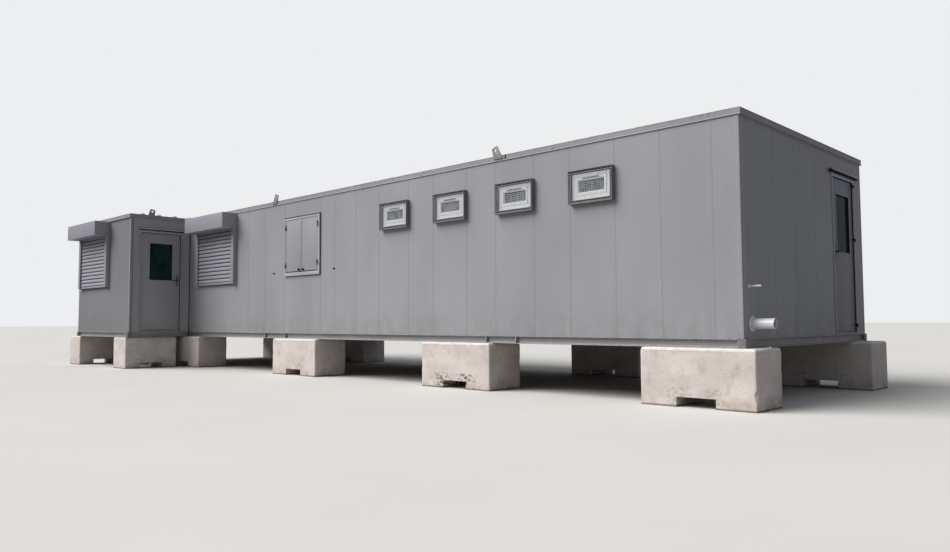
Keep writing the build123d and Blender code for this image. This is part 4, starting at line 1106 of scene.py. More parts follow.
class Crust(Rule):
    """A ragged bead of moss and silt that follows a path."""

    def __init__(self) -> None:
        """Builds the tree."""
        names = ("Spacing", "Radius", "Clump", "Seed")
        super().__init__("moss_along_an_edge", {name: "NodeSocketFloat" for name in names})
        tree, given = self.tree, self.given
        path = add(tree, "GeometryNodeMeshToCurve", {0: given["Geometry"]})
        points = add(
            tree,
            "GeometryNodeResampleCurve",
            {"Curve": path.outputs[0], "Length": given["Spacing"]},
            mode="LENGTH",
        )
        here = add(tree, "GeometryNodeInputPosition").outputs[0]
        pace = add(tree, "ShaderNodeMath", {0: 1.0, 1: given["Clump"]}, operation="DIVIDE")
        clumps = add(
            tree,
            "ShaderNodeTexNoise",
            {"Vector": here, "W": given["Seed"], "Scale": pace.outputs[0], "Detail": 5.0},
            noise_dimensions="4D",
        )
        thick = add(
            tree,
            "ShaderNodeMapRange",
            {"Value": clumps.outputs[0], "From Min": 0.4, "From Max": 0.62, "To Min": 0.4, "To Max": 1.0},
        )
        radius = add(tree, "ShaderNodeMath", {0: thick.outputs[0], 1: given["Radius"]}, operation="MULTIPLY")
        sized = add(
            tree, "GeometryNodeSetCurveRadius", {"Curve": points.outputs[0], "Radius": radius.outputs[0]}
        )
        section = add(tree, "GeometryNodeCurvePrimitiveCircle", {"Resolution": 7, "Radius": 1.0})
        bead = add(
            tree, "GeometryNodeCurveToMesh", {"Curve": sized.outputs[0], "Profile Curve": section.outputs[0]}
        )
        self.end(bead.outputs[0])


@dataclass(frozen=True)
class Shop:
    """The finishes and the rules that the sub-assemblies draw on."""

    wall: Material
    walls: dict[str, Material]
    leaf: Material
    dark_leaf: Material
    bay_leaf: Material
    light: Material
    guard: Material
    guard_box: Material
    sealant: Material
    trim: Material
    frame: Material
    casting: Material
    door: Material
    shutter: Material
    roof: Material
    vinyl: Material
    pipe: Material
    glass: Material
    stippled: Material
    zinc: Material
    black: Material
    rubber: Material
    lever: Material
    plate: Material
    blind: Material
    floor: Material
    concrete: Material
    moss: Material
    rows: Rows
    welded: WeldedMesh
    crust: Crust


def open_shop() -> Shop:
    """Makes every finish and rule once."""
    front, back, right, left = (0.0, -1.0, 0.0), (0.0, 1.0, 0.0), (1.0, 0.0, 0.0), (-1.0, 0.0, 0.0)
    inner = CABIN.wall - 3.0
    lined = {
        "front": (front, -CABIN.front_wall - inner, "959499"),
        # The bay's front wall is painted darker than the main front wall as painted shade
        "bay_front": (front, -CABIN.bay_wall - inner, "7b7a7f"),
        "back": (back, CABIN.back_wall - inner, "959499"),
        "end": (right, CABIN.end_wall - inner, "939498"),
        "bay_side": (right, CABIN.bay_side - inner, "9c9ba0"),
        "left": (left, -CABIN.left_wall - inner, "959499"),
    }
    return Shop(
        wall=CoatedSheet("plastisol coated steel wall sheet", "959499").make(),
        walls={
            way: CoatedSheet(f"plastisol coated steel wall sheet {way}", colour, inner=(out, level)).make()
            for way, (out, level, colour) in lined.items()
        },
        leaf=CoatedSheet("enamelled pressed steel leaf", "99989d", (0.35, 0.5), splash=0.25).make(),
        bay_leaf=CoatedSheet("enamelled pressed steel bay door", "97969b", (0.35, 0.5), splash=0.25).make(),
        dark_leaf=CoatedSheet("enamelled pressed steel end door", "7f808a", (0.35, 0.5), splash=0.25).make(),
        light=CoatedSheet("pale enamelled steel section", "b0afb5", (0.3, 0.45), splash=0.1).make(),
        trim=CoatedSheet("plastisol coated steel roof trim", "918f95", moss=0.8).make(),
        frame=Enamel("enamelled hot-rolled steel", "8b898d", (0.4, 0.65), rust=0.35).make(),
        # The castings' enamel is darker than the rails' as painted shade, to match the shaded webs beside
        # them
        casting=Enamel("enamelled cast steel darkened as shade", "6d6b71", (0.4, 0.65), rust=0.35).make(),
        door=CoatedSheet("enamelled steel door frame", "929196", (0.35, 0.5), splash=0.25).make(),
        shutter=CoatedSheet("coil coated shutter steel", "95959e", (0.35, 0.5), splash=0.0).make(),
        roof=CoatedSheet(
            "weathered roofing sheet",
            "b3b4ae",
            (0.5, 0.7),
            inner=((0.0, 0.0, 1.0), CABIN.wall_top + 2.0),
            moss=0.5,
        ).make(),
        vinyl=Extruded("extruded white rigid vinyl", "f7f7f9", (0.3, 0.5), grime=0.1).make(),
        pipe=Extruded("moulded white soil pipe", "d9dadd", (0.25, 0.4), grime=0.12).make(),
        # The clear glass's dark green stands partly for the trees that it reflects: a painted reflection
        glass=Glazing("clear float glass", "0f2625", (0.03, 0.09)).make(),
        stippled=Glazing("stippled rolled glass", "4a5d6c", (0.25, 0.4), make_of=Pane.STIPPLED).make(),
        zinc=Zinc("hot-dip galvanised steel", "b4b5b6", (0.4, 0.6)).make(),
        guard=Zinc("zinc plated guard wire", "c4c5c8", (0.5, 0.7), metal=0.0).make(),
        # The guard boxes' zinc is darker than the wires', partly as painted shade on the boxes
        guard_box=Zinc("zinc guard steel darkened for shade", "74757a", (0.5, 0.7), metal=0.3, bloom="8b8c90").make(),
        black=Moulded("black powder coated fittings", "0b0b0d", (0.5, 0.7), dust=0.03).make(),
        rubber=Moulded("black rubber seal", "0f0f10", (0.6, 0.8), dust=0.05).make(),
        sealant=Moulded("grey joint sealant", "8c8b90", (0.6, 0.8), dust=0.1).make(),
        lever=Moulded("dark anodised lever", "2a2b2f", (0.3, 0.45), dust=0.05).make(),
        plate=Moulded("grey anodised lock plate", "606165", (0.35, 0.5), dust=0.05).make(),
        blind=Moulded("lacquered blind slat", "4e5b59", (0.4, 0.55), dust=0.05).make(),
        floor=Board("birch faced plywood", "8a7458", (0.5, 0.75)).make(),
        concrete=Cast("wet-cast concrete", "d5cbc6", (0.75, 0.95)).make(),
        moss=Lichen("moss and roof silt", "c4c6b6", (0.85, 1.0)).make(),
        rows=Rows(),
        welded=WeldedMesh(),
        crust=Crust(),
    )


# Sub-assemblies


@dataclass
class BaseFrame:
    """Rolled channel rails round both cabins, with corner castings, stiffeners and joists."""

    flange: float = 50.0
    web: float = 10.0
    root: float = 7.0
    corner: float = 90.0
    stiffener: float = 10.0
    stiffeners: tuple[float, ...] = (-3072.0, -3594.0, -8484.0, -9156.0)

    def section(self) -> list[tuple[float, float]]:
        """Outline of a rolled channel, open outwards, with tapered flanges and rounded roots."""
        f, t, h, r = self.flange, self.web, CABIN.frame_height, self.root
        outline = [(0, 1), (0, t - 1.5), (t + r - f, t + 2), (t - f, t + r + 3)]
        mirrored = [(u, h - v) for u, v in reversed(outline)]
        return soften([*outline, *mirrored, (-f, h), (-f, 0)], 2.2)

    def rails(self, shop: Shop) -> None:
        """Builds the rails of both cabins."""
        w, left, joint, front = CABIN.width, CABIN.left, CABIN.joint, CABIN.bay_front
        main = [(joint, 0), (0, 0), (0, w), (joint, w)]
        bay = [(left, front), (joint, front), (joint, w), (left, w)]
        for name, path, closed in (("main_rails", main, False), ("bay_rails", bay, True)):
            form = Form(name).sweep(self.section(), [Vector((x, y, 0.0)) for x, y in path], UP, closed)
            # The flanges are marked so that they take a painted highlight, with rust chips along them
            form.mark(0.9, lambda c: abs(c.z - CABIN.frame_height / 2) > CABIN.frame_height / 2 - self.web)
            node = name.replace("rails", "frame_rails")
            form.done(shop.frame, replaces=(node,), slot="frame_paint")

    def castings(self, shop: Shop) -> None:
        """Builds the corner blocks, and the stiffeners with their welds."""
        c, f, h = self.corner, self.flange, CABIN.frame_height
        form = Form("corner_castings")
        main = CABIN.joint + 0.8
        for x, y, into_x, into_y in (
            (0, 0, -1, 1), (0, CABIN.width, -1, -1), (main, 0, 1, 1), (main, CABIN.width, 1, -1),
            (CABIN.joint, CABIN.bay_front, -1, 1), (CABIN.joint, CABIN.width, -1, -1),
            (CABIN.left, CABIN.bay_front, 1, 1), (CABIN.left, CABIN.width, 1, -1),
        ):  # fmt: skip
            plan = [(-0.4, -0.4), (c, -0.4), (c, f - 3), (f - 3, f - 3), (f - 3, c), (-0.4, c)]
            form.prism(soften([(x + into_x * a, y + into_y * b) for a, b in plan], 3.0), 0.6, h - 0.6)
        # The arris of the near corner is lightened as a painted highlight
        form.mark(1.0, lambda c: abs(c.x) < 1.8 and abs(c.y) < 1.8)
        form.done(shop.casting, slot="frame_paint")
        plates = Form("rail_stiffeners")
        beads = Form("stiffener_welds")
        for x in self.stiffeners:
            for y, out in ((0.0, 1.0), (CABIN.width, -1.0)):
                face, back = y + out * 0.4, y + out * (f - self.web)
                low, high = sorted((face, back))
                half = self.stiffener / 2
                plates.block((x - half, low, self.web), (x + half, high, h - self.web), 1.2)
                for side in (-1, 1):
                    edge = x + side * half
                    bead = [(0, 0), (side * 5.0, 0), (side * 1.6, 1.6), (0, 5.0)]
                    path = [Vector((edge, low, self.web + 1)), Vector((edge, high, self.web + 1))]
                    beads.sweep(bead, path, UP, False)
        # The stiffeners' front faces are lightened as a painted highlight
        plates.mark(1.0, lambda c: c.y < 1.0 or c.y > CABIN.width - 1.0).done(shop.frame, slot="frame_paint")
        beads.done(shop.frame, slot="frame_paint")

    def build(self, shop: Shop) -> None:
        """Builds the whole base frame."""
        self.rails(shop)
        self.castings(shop)
        dress(shop.frame, "floor_joists")
        dress(shop.floor, "main_floor", "bay_floor")


@dataclass
class WallShell:
    """Walls of coated sheet panels, their joints and the angles on their corners."""

    front_seams: tuple[float, ...] = (
        -335.0, -949.0, -1546.0, -2194.0, -2758.0, -3426.0, -3970.0, -4638.0, -5181.0,
        -5871.0, -6451.0, -7030.0, -7426.0, -8527.0, -9196.0, -9788.0,
    )  # fmt: skip
    end_seams: tuple[float, ...] = (835.0, 1430.0, 2050.0)
    pitch: float = 600.0
    groove: float = 5.0
    lip: float = 9.0
    proud: float = 1.6
    angle: float = 38.0

    def seams(self) -> list[tuple[float, float, Vector]]:
        """Every joint between two panels.

        Returns:
            For each joint its X, its Y and the direction that its wall faces.
        """
        found = [(x, CABIN.front_wall, FRONT) for x in self.front_seams]
        found += [(CABIN.end_wall, y, RIGHT_END) for y in self.end_seams]
        found += [(CABIN.end_wall - n * self.pitch, CABIN.back_wall, -FRONT) for n in range(1, 25)]
        top = CABIN.back_wall - CABIN.wall
        found += [(CABIN.left_wall, top - n * self.pitch, -RIGHT_END) for n in range(1, 9)]
        found += [(CABIN.bay_side - n * self.pitch, CABIN.bay_wall, FRONT) for n in range(1, 5)]
        return found

    def joints(self, shop: Shop) -> None:
        """Builds the mastic in each joint and the folded lip beside it."""
        mastic, lips = Form("panel_joint_mastic"), Form("panel_joint_lips")
        bottom, top = CABIN.frame_height + 0.5, CABIN.wall_top - 0.5
        for x, y, out in self.seams():
            path = [Vector((x, y, bottom)), Vector((x, y, top))]
            g = self.groove / 2 - 0.1
            top_face = -0.1 if out == RIGHT_END else -0.35
            mastic.sweep([(-g, -1.9), (g, -1.9), (g, top_face), (-g, top_face)], path, out, False)
            p, w = self.proud, self.lip
            lip = [(g, -0.4), (g, p - 0.5), (g + 1.0, p), (g + w - 1.5, p), (g + w, -0.4)]
            lips.sweep(lip, path, out, False)
        mastic.done(shop.sealant, slot="black_fittings")
        lips.done(shop.wall, slot="wall_paint")

    def corners(self, shop: Shop) -> None:
        """Builds the folded angles on the outer corners, and dark strips in the joint between the two cabins
        that stand for its shaded gap.
        """
        form = Form("corner_angles")
        a, t = self.angle, self.proud
        outline = soften([(t, t), (-a, t), (-a, -0.5), (-0.5, -0.5), (-0.5, -a), (t, -a)], 1.6)
        places = (
            (CABIN.end_wall, CABIN.front_wall, RIGHT_END, FRONT),
            (CABIN.end_wall, CABIN.back_wall, RIGHT_END, -FRONT),
            (CABIN.left_wall, CABIN.back_wall, -RIGHT_END, -FRONT),
            (CABIN.left_wall, CABIN.bay_wall, -RIGHT_END, FRONT),
            (CABIN.bay_side, CABIN.bay_wall, RIGHT_END, FRONT),
        )
        for x, y, end, side in places:
            rings = [
                [form.bm.verts.new(Vector((x, y, z)) + end * u + side * v) for u, v in outline]
                for z in (CABIN.frame_height + 0.4, CABIN.wall_top - 0.2)
            ]
            for k in range(len(outline)):
                m = (k + 1) % len(outline)
                face = form.bm.faces.new((rings[0][k], rings[0][m], rings[1][m], rings[1][k]))
                face[form.wear_and_light] = 0.15 if math.dist(outline[k], outline[m]) < 2.5 else 0.0
            for ring in rings:
                form.bm.faces.new(ring)
        form.done(shop.wall, slot="wall_paint")
        # Dark strips in the joint between the cabins stand for the shaded gap: painted shade
        seal = Form("cabin_joint_shade")
        x, y, back = CABIN.bay_side, CABIN.front_wall, CABIN.back_wall
        for low, high in (
            ((x, y - 14, CABIN.frame_height), (x + 10, y, CABIN.wall_top)),
            ((CABIN.joint, -12, 2), (CABIN.joint + 10, 0, CABIN.frame_height - 2)),
            ((x, back, CABIN.frame_height), (x + 16, back + 5, CABIN.wall_top)),
        ):
            seal.block(low, high, 3.0)
        seal.done(shop.rubber, slot="black_fittings")

    def build(self, shop: Shop) -> None:
        """Dresses the walls and builds their joints."""
        for way, nodes in {
            "front": ("front_wall",),
            "bay_front": ("bay_front_wall",),
            "back": ("back_wall",),
            "left": ("left_wall",),
            "end": ("end_wall_near", "end_wall_far", "end_wall_head"),
            "bay_side": ("bay_side_wall_outer", "bay_side_wall_inner", "bay_side_wall_head"),
        }.items():
            dress(shop.walls[way], *nodes)
        self.joints(shop)
        self.corners(shop)


@dataclass
class RoofEdge:
    """Ribbed roofs, the folded trim around them, the moss on it and the lifting lugs."""

    rib_pitch: float = 333.0
    main_deck: float = 40.0
    bay_deck: float = 62.0
    main_rib: float = 28.0
    bay_rib: float = 36.0
    lug_x: tuple[float, float] = (-3343.0, -8847.0)
    bay_lug_y: float = -842.0
    first_bay_rib: float = 240.0
    joint_pitch: float = 2440.0

    def trim(self, shop: Shop) -> None:
        """Builds the trim with a kicked-out drip and a turned-in top."""
        h, s = CABIN.trim_height, CABIN.side_inset
        outline = [
            (5.5, 0.6), (6.3, 2.0), (1.2, 9.0), (0, 13), (0, h - 4), (-1.2, h - 1), (-4, h), (-s, h), (-s, 0),
        ]  # fmt: skip
        path = [corner + UP * CABIN.wall_top for corner in CABIN.outline()]
        Form("roof_edge_trim").sweep(outline, path, UP).done(
            shop.trim, replaces=("roof_trim",), slot="wall_paint", smooth=12.0
        )
        straps = Form("trim_joint_straps")
        for n in range(1, 5):
            x = -n * self.joint_pitch
            for low, high in ((-1.4, 0.6), (CABIN.width - 0.6, CABIN.width + 1.4)):
                straps.block((x - 22, low, CABIN.wall_top + 14), (x + 22, high, CABIN.height - 1), 0.6)
        straps.done(shop.trim, slot="wall_paint")

    def moss(self, shop: Shop) -> None:
        """Lets a ragged bead of moss follow the top of the trim."""
        seed = bpy.data.meshes.new("edge_path")
        inset = [Vector((c.x, c.y, CABIN.height + 0.5)) for c in CABIN.outline()]
        middle = Vector((-6000.0, 1800.0, 0.0))
        shifted = [p + Vector((-6 if p.x > middle.x else 6, 6 if p.y < middle.y else -6, 0)) for p in inset]
        seed.from_pydata(shifted, [(i, (i + 1) % len(shifted)) for i in range(len(shifted))], [])
        data = shop.crust.run(seed, Spacing=60.0, Radius=10.0, Clump=140.0, Seed=4.0, Finish=shop.moss)
        placed("roof_edge_moss", data, "cabin", (), 80.0)

    def screws(self, shop: Shop) -> None:
        """Builds the washered roofing screws and the pale fillers in the rib ends."""
        head = Form("screw").lathe([(0, 0), (0, 9), (2, 9.5), (2.4, 6), (7, 5.4), (8, 0)], (0, 0, 0), UP, 8)
        first = CABIN.end_wall - 0.5 * self.rib_pitch
        z = CABIN.wall_top + self.main_deck + self.main_rib
        seed = head.mesh()
        data = shop.rows.run(
            seed, Columns=36, Column_step=(-self.rib_pitch, 0, 0), Rows=4, Row_step=(0, 1190.0, 0),
            Turn=(0.04, 0.04, 3.0), Seed=7, Finish=shop.zinc,
        )  # fmt: skip
        data.transform(Matrix.Translation((first, 80.0, z - 0.5)))
        placed("main_roof_screws", data, "cabin", ())
        deck = CABIN.wall_top + self.bay_deck
        x, y = CABIN.bay_side, CABIN.bay_wall + self.first_bay_rib
        data = shop.rows.run(
            seed, Columns=4, Column_step=(-860.0, 0, 0), Rows=15, Row_step=(0, self.rib_pitch, 0),
            Turn=(0.04, 0.04, 3.0), Seed=9, Finish=shop.zinc,
        )  # fmt: skip
        data.transform(Matrix.Translation((x - 80.0, y, deck + self.bay_rib - 0.5)))
        placed("bay_roof_screws", data, "cabin", ())
        outline = [(-52, 0.3), (52, 0.3), (34, self.bay_rib + 4), (-34, self.bay_rib + 4)]
        filler = Form("filler").sweep(soften(outline, 3), [Vector((-12, 0, 0)), Vector((4, 0, 0))], UP, False)
        data = shop.rows.run(
            filler.mesh(), Columns=2, Column_step=(CABIN.left_wall - CABIN.bay_side + 8, 0, 0), Rows=15,
            Row_step=(0, self.rib_pitch, 0), Turn=(0.0, 0.0, 0.0), Seed=1, Finish=shop.vinyl,
        )  # fmt: skip
        data.transform(Matrix.Translation((x, y, deck)))
        placed("bay_rib_fillers", data, "cabin", ())

    def lugs(self, shop: Shop) -> None:
        """Builds the lifting lugs, the weld along each foot, and a black block in the trim beside the first
        lug that stands for the shadow in the cut there.
        """
        Form("lifting_eyes", ("lifting_lugs",), 2.5, 2).done(shop.frame, slot="frame_paint")
        welds, cuts = Form("lug_welds"), Form("trim_cut_shade")
        z = CABIN.height - 45.0
        feet = [(Vector((x, y, z)), RIGHT_END, Vector((0.0, out, 0.0)), lean)
                for x, lean in zip(self.lug_x, (-72.0, 72.0)) for y, out in ((0.0, -1.0), (CABIN.width, 1.0))]
        feet.append((Vector((CABIN.joint, self.bay_lug_y, z)), -FRONT, RIGHT_END, 32.0))
        feet += [(Vector((CABIN.left, y, z)), -FRONT, -RIGHT_END, lean)
                 for y, lean in ((self.bay_lug_y, 32.0), (CABIN.width - 423.0, -32.0))]
        for foot, along, out, lean in feet:
            ends = [foot + along * side * 76 + out * 3 for side in (-1, 1)]
            welds.sweep([(-5, -3), (4, -3), (3, 4), (-3, 3)], ends, out, False)
            for end, side in zip(ends, (-1, 1)):
                top = end + along * (lean - side * 26.5) * 0.25 + UP * 41
                welds.sweep([(-4, -4), (4, -4), (3, 3), (-3, 3)], [end + UP * 2, top], out, False)
        x = self.lug_x[0]
        # The black block stands for the shadow in the cut: painted shade
        cuts.block((x + 104, -1.2, CABIN.wall_top + 16), (x + 128, 2, CABIN.height + 0.8), 0.6)
        welds.done(shop.frame, slot="frame_paint")
        cuts.done(shop.rubber, slot="black_fittings")

    def build(self, shop: Shop) -> None:
        """Builds the roof's edge and dresses the roofs."""
        dress(shop.roof, "main_roof", "bay_roof")
        self.trim(shop)
        self.moss(shop)
        self.screws(shop)
        self.lugs(shop)


@dataclass
class Window:
    """One rigid vinyl window: a fixed frame, a sash in it, a rubber seal, a pane and perhaps a vent.

    Attributes:
        low: Lower left corner of the opening, as X and Z.
        high: Its upper right corner.
        level: Y of the wall's face.
        rail: Width of frame and sash together.
        proud: How far the frame stands out of the wall.
        depth: Thickness of the frame from its face to its back.
        vent: Whether a trickle vent sits on the top rail.
    """

    low: tuple[float, float]
    high: tuple[float, float]
    level: float
    rail: float
    proud: float = 0.0
    depth: float = 60.0
    vent: bool = False

    def build(self, frames: Form, seals: Form, panes: Form) -> None:
        """Adds the window to the forms that hold all windows.

        Args:
            frames: Takes the vinyl parts.
            seals: Takes the rubber parts.
            panes: Takes the glass.
        """
        path = rectangle(self.low, self.high, FRONT, self.level)
        back, face, split = self.proud - self.depth, self.proud, 0.5 * self.rail
        fixed = [
            (0, back), (0, face), (-split + 3, face),
            (-split + 1, face - 5), (-split, face - 5), (-split, back),
        ]  # fmt: skip
        frames.sweep(soften(fixed, 2.0, 3), path, FRONT)
        sash_face = face + 5.0
        sash = [
            (-split - 2, back + 6), (-split - 2, sash_face), (-self.rail + 14, sash_face),
            (-self.rail, sash_face - 16), (-self.rail, back + 6),
        ]  # fmt: skip
        frames.sweep(soften(sash, 2.0, 3), path, FRONT)
        outer, inner = -split - 2.4, -split + 0.4
        gasket = [(outer, face - 22), (outer, face - 7), (inner, face - 7), (inner, face - 22)]
        seals.sweep(gasket, path, FRONT)
        r, glass = self.rail, self.proud - self.depth / 2
        seals.sweep([(-r, glass), (-r, glass + 6), (-r - 3, glass + 4), (-r - 3, glass)], path, FRONT)
        low, high = self.low, self.high
        y = self.level - glass
        panes.block((low[0] + r - 2, y, low[1] + r - 2), (high[0] - r + 2, y + 6, high[1] - r + 2), 0.5, 1)
        if self.vent:
            z, middle = high[1] - 48.0, (low[0] + high[0]) / 2
            hood = [(-9, 0), (-9, 12.5), (-6, 15), (6, 11), (9, 4), (9, 0)]
            y = self.level - sash_face
            ends = [Vector((middle - 120, y, z)), Vector((middle + 120, y, z))]
            frames.sweep(soften(hood, 1.5), ends, FRONT, False)
            # The black strip under the hood stands for its shadow: painted shadow
            seals.sweep([(9, 0.2), (9, 9), (18, 6), (18, 0.2)], ends, FRONT, False)
            sill = [(-10, 0), (-10, 4), (-6, 9), (8, 9), (8, 0)]
            z = low[1] + 4
            path = [Vector((low[0] + 4, self.level - face, z)), Vector((high[0] - 4, self.level - face, z))]
            frames.sweep(soften(sill, 1.2), path, FRONT, False)


@dataclass
class Windows:
    """All the windows, and the mesh guards over the four high ones."""

    pitch: float = 1204.0
    first: float = -1866.0
    count: int = 4
    size: tuple[float, float] = (540.0, 312.0)
    sill: float = 1750.0
    guard_size: tuple[float, float] = (632.0, 410.0)
    guard_shift: float = 15.0
    guard_bottom: float = 1692.0
    guard_depth: float = 70.0
    mesh_pitch: float = 25.4
    wire: float = 3.6
    large: tuple[tuple[tuple[float, float], tuple[float, float], float], ...] = (
        ((-8450.0, 1170.0), (-7462.0, 2094.0), CABIN.front_wall),
        ((-11668.0, 1080.0), (-10358.0, 2080.0), CABIN.front_wall),
        ((-14680.0, 1080.0), (-13370.0, 2080.0), CABIN.bay_wall),
    )

    def list_all(self) -> list[Window]:
        """Every window of the cabin, with those behind the leaves and the shutters.

        Returns:
            The four high windows, then the hatch's and those behind the shutters.
        """
        found = []
        for n in range(self.count):
            x, half = self.first - n * self.pitch, self.size[0] / 2
            low, high = (x - half, self.sill), (x + half, self.sill + self.size[1])
            found.append(Window(low, high, CABIN.front_wall, 88.0, 12.0, vent=True))
        return found + [Window(low, high, wall, 70.0) for low, high, wall in self.large]

    def guards(self, shop: Shop) -> None:
        """Builds the box guards, their welded mesh and the straps that hold it."""
        Form("guard_boxes", ("window_guards",), 1.2, 1).done(shop.guard_box, slot="galvanised")
        width, height = self.guard_size
        corners = []
        for n in range(self.count):
            x = self.first - n * self.pitch + self.guard_shift - width / 2
            corners.append((x + 4, CABIN.front_wall - self.guard_depth + 6, self.guard_bottom + 4))
        seed = bpy.data.meshes.new("guard_corners")
        seed.from_pydata(corners, [], [])
        data = shop.welded.run(
            seed, Width=width - 8, Height=height - 8, Pitch=self.mesh_pitch, Wire=self.wire, Finish=shop.guard
        )
        placed("guard_wires", data, "cabin", ("guard_mesh",), 70.0)
        bolts = Form("guard_bolts")
        for x, y, z in corners:
            for dz in (70.0, height - 78.0):
                for side, at in ((1, x + width - 4), (-1, x - 4)):
                    place = (at, y + self.guard_depth - 22, z + dz)
                    profile = [(0, 0), (0, 9), (1.5, 9), (1.5, 6.5), (6, 6), (7, 0)]
                    bolts.lathe(profile, place, Vector((side, 0, 0)), 6)
        bolts.done(shop.guard_box, slot="galvanised")

    def guard_shade_strips(self, shop: Shop) -> None:
        """Builds black strips on the wall between each high window and its guard, which stand for the shade
        inside the guard: painted shade.
        """
        form = Form("guard_painted_shade")
        y, (w, h) = CABIN.front_wall, self.size
        for n in range(self.count):
            middle = self.first - n * self.pitch
            left = middle + self.guard_shift - self.guard_size[0] / 2 + 4
            right = left + self.guard_size[0] - 8
            low, high = self.guard_bottom + 4, self.guard_bottom + self.guard_size[1] - 4
            near, far = middle - w / 2 + 0.5, middle + w / 2 - 0.5
            bottom, top = self.sill + 0.5, self.sill + h - 0.5
            strips = (
                (left, right, low, bottom),
                (left, right, top, high),
                (left, near, bottom, top),
                (far, right, bottom, top),
            )
            for a, b, c, d in strips:
                form.block((a, y - 2.5, c), (b, y + 0.1, d), 0.4, 1)
        form.done(shop.rubber, slot="black_fittings")

    def build(self, shop: Shop) -> None:
        """Builds every window and guard."""
        names = ("window_rails", "window_seals_and_shade_line", "window_glass", "high_glass")
        frames, seals, panes, stippled = (Form(name) for name in names)
        for window in self.list_all():
            window.build(frames, seals, stippled if window.vent else panes)
        frames.done(shop.vinyl, replaces=("window_frames",), slot="white_upvc", smooth=40.0)
        seals.done(shop.rubber, slot="black_fittings")
        panes.done(shop.glass, replaces=("window_panes",), slot="pane_glass")
        stippled.done(shop.stippled, slot="pane_glass")
        self.guards(shop)
        self.guard_shade_strips(shop)


@dataclass
class Hatch:
    """The window with two steel leaves: frame, leaves, knobs, hinges and the catches that hold them open."""

    centre: float = -7956.0
    face: float = -22.0
    leaf_z: tuple[float, float] = (1176.0, 2088.0)
    leaf_x: tuple[float, float] = (4.0, 488.0)
    stile: float = 494.0
    rails: tuple[float, float] = (1169.0, 2095.0)
    wide: float = 540.0
    knuckle: float = 12.0

    def build(self, shop: Shop) -> None:
        """Builds the hatch."""
        wide, stile, (low_rail, high_rail) = self.wide, self.centre + self.stile, self.rails
        surround = Form("hatch_surround", ("hatch_frame",), 2.0, 2)
        surround.cut((RIGHT_END, stile), (UP, low_rail), (UP, high_rail))
        surround.tint(lambda c: c.x > stile or not low_rail < c.z < high_rail)
        surround.done(shop.door, shop.light, slot="frame_paint")
        drip = Form("hatch_drip")
        drip.block((self.centre - wide, -31, 2142.5), (self.centre + wide, -20, 2147), 0.8)
        drip.done(shop.light, slot="frame_paint")
        for side, name in ((-1, "left"), (1, "right")):
            Form(f"{name}_leaf_skin", (f"hatch_leaf_{name}",), 3.0, 3).done(
                shop.leaf, body=f"{name}_leaf", slot="door_paint"
            )
            pin = self.centre + side * (self.leaf_x[1] - 1.0)
            fittings = Form(f"{name}_leaf_fittings", (f"hatch_fittings_{name}",), 0.8, 2)
            fittings.tint(lambda c, pin=pin: self.knuckle < abs(c.x - pin) < 60.0)
            fittings.done(shop.black, shop.leaf, body=f"{name}_leaf", slot="black_fittings")
            folds = Form(f"{name}_leaf_folds")
            near, far = (self.centre + side * x for x in self.leaf_x)
            low, high = sorted((near, far))
            y = self.face + 2.0
            path = rectangle((low + 16, self.leaf_z[0] + 16), (high - 16, self.leaf_z[1] - 16), FRONT, y)
            folds.sweep([(-3, -0.3), (-2, 1.3), (2, 1.3), (3, -0.3)], path, FRONT)
            folds.done(shop.leaf, body=f"{name}_leaf", slot="door_paint")
        fixed = Form("hatch_fixed_hinges", ("hatch_hinges",), 0.8, 2)
        fixed.tint(lambda c: abs(abs(c.x - self.centre) - self.leaf_x[1] + 1.0) > self.knuckle)
        fixed.done(shop.black, shop.light, slot="black_fittings")
        catches = Form("hatch_wall_catches", ("hatch_catches",), 0.8, 2)
        wall = CABIN.front_wall
        for x in (min(v.co.x for v in catches.bm.verts), max(v.co.x for v in catches.bm.verts)):
            middle = x + math.copysign(14.0, self.centre - x)
            catches.block((middle - 23, wall - 2.0, 1157), (middle + 23, wall, 1187), 0.6, 1)
        catches.done(shop.black, slot="black_fittings")
        rubber = Form("hatch_seals_and_shade_lines")
        low, high = (self.centre - 492, 1172.0), (self.centre + 492, 2092.0)
        path = rectangle(low, high, FRONT, self.face + 20)
        rubber.sweep([(-9, -2), (-9, 1), (0, 1), (0, -2)], path, FRONT)
        low, high = (self.centre - 532, 1100.0), (self.centre + 532, 2146.0)
        outer = rectangle(low, high, FRONT, CABIN.front_wall)
        rubber.sweep([(0.2, 0.2), (0.2, 11), (7, 5), (9, 0.2)], outer, FRONT)
        # The black strips under the drip and above the sill stand for the shadow lines there: painted shade
        rubber.block((self.centre - wide + 3, -26, 2131), (self.centre + wide - 3, -21.5, 2143), 1.0)
        rubber.block((self.centre - 489, -24.5, 1163), (self.centre + 489, -21.5, 1170), 0.8)
        rubber.done(shop.rubber, slot="black_fittings")


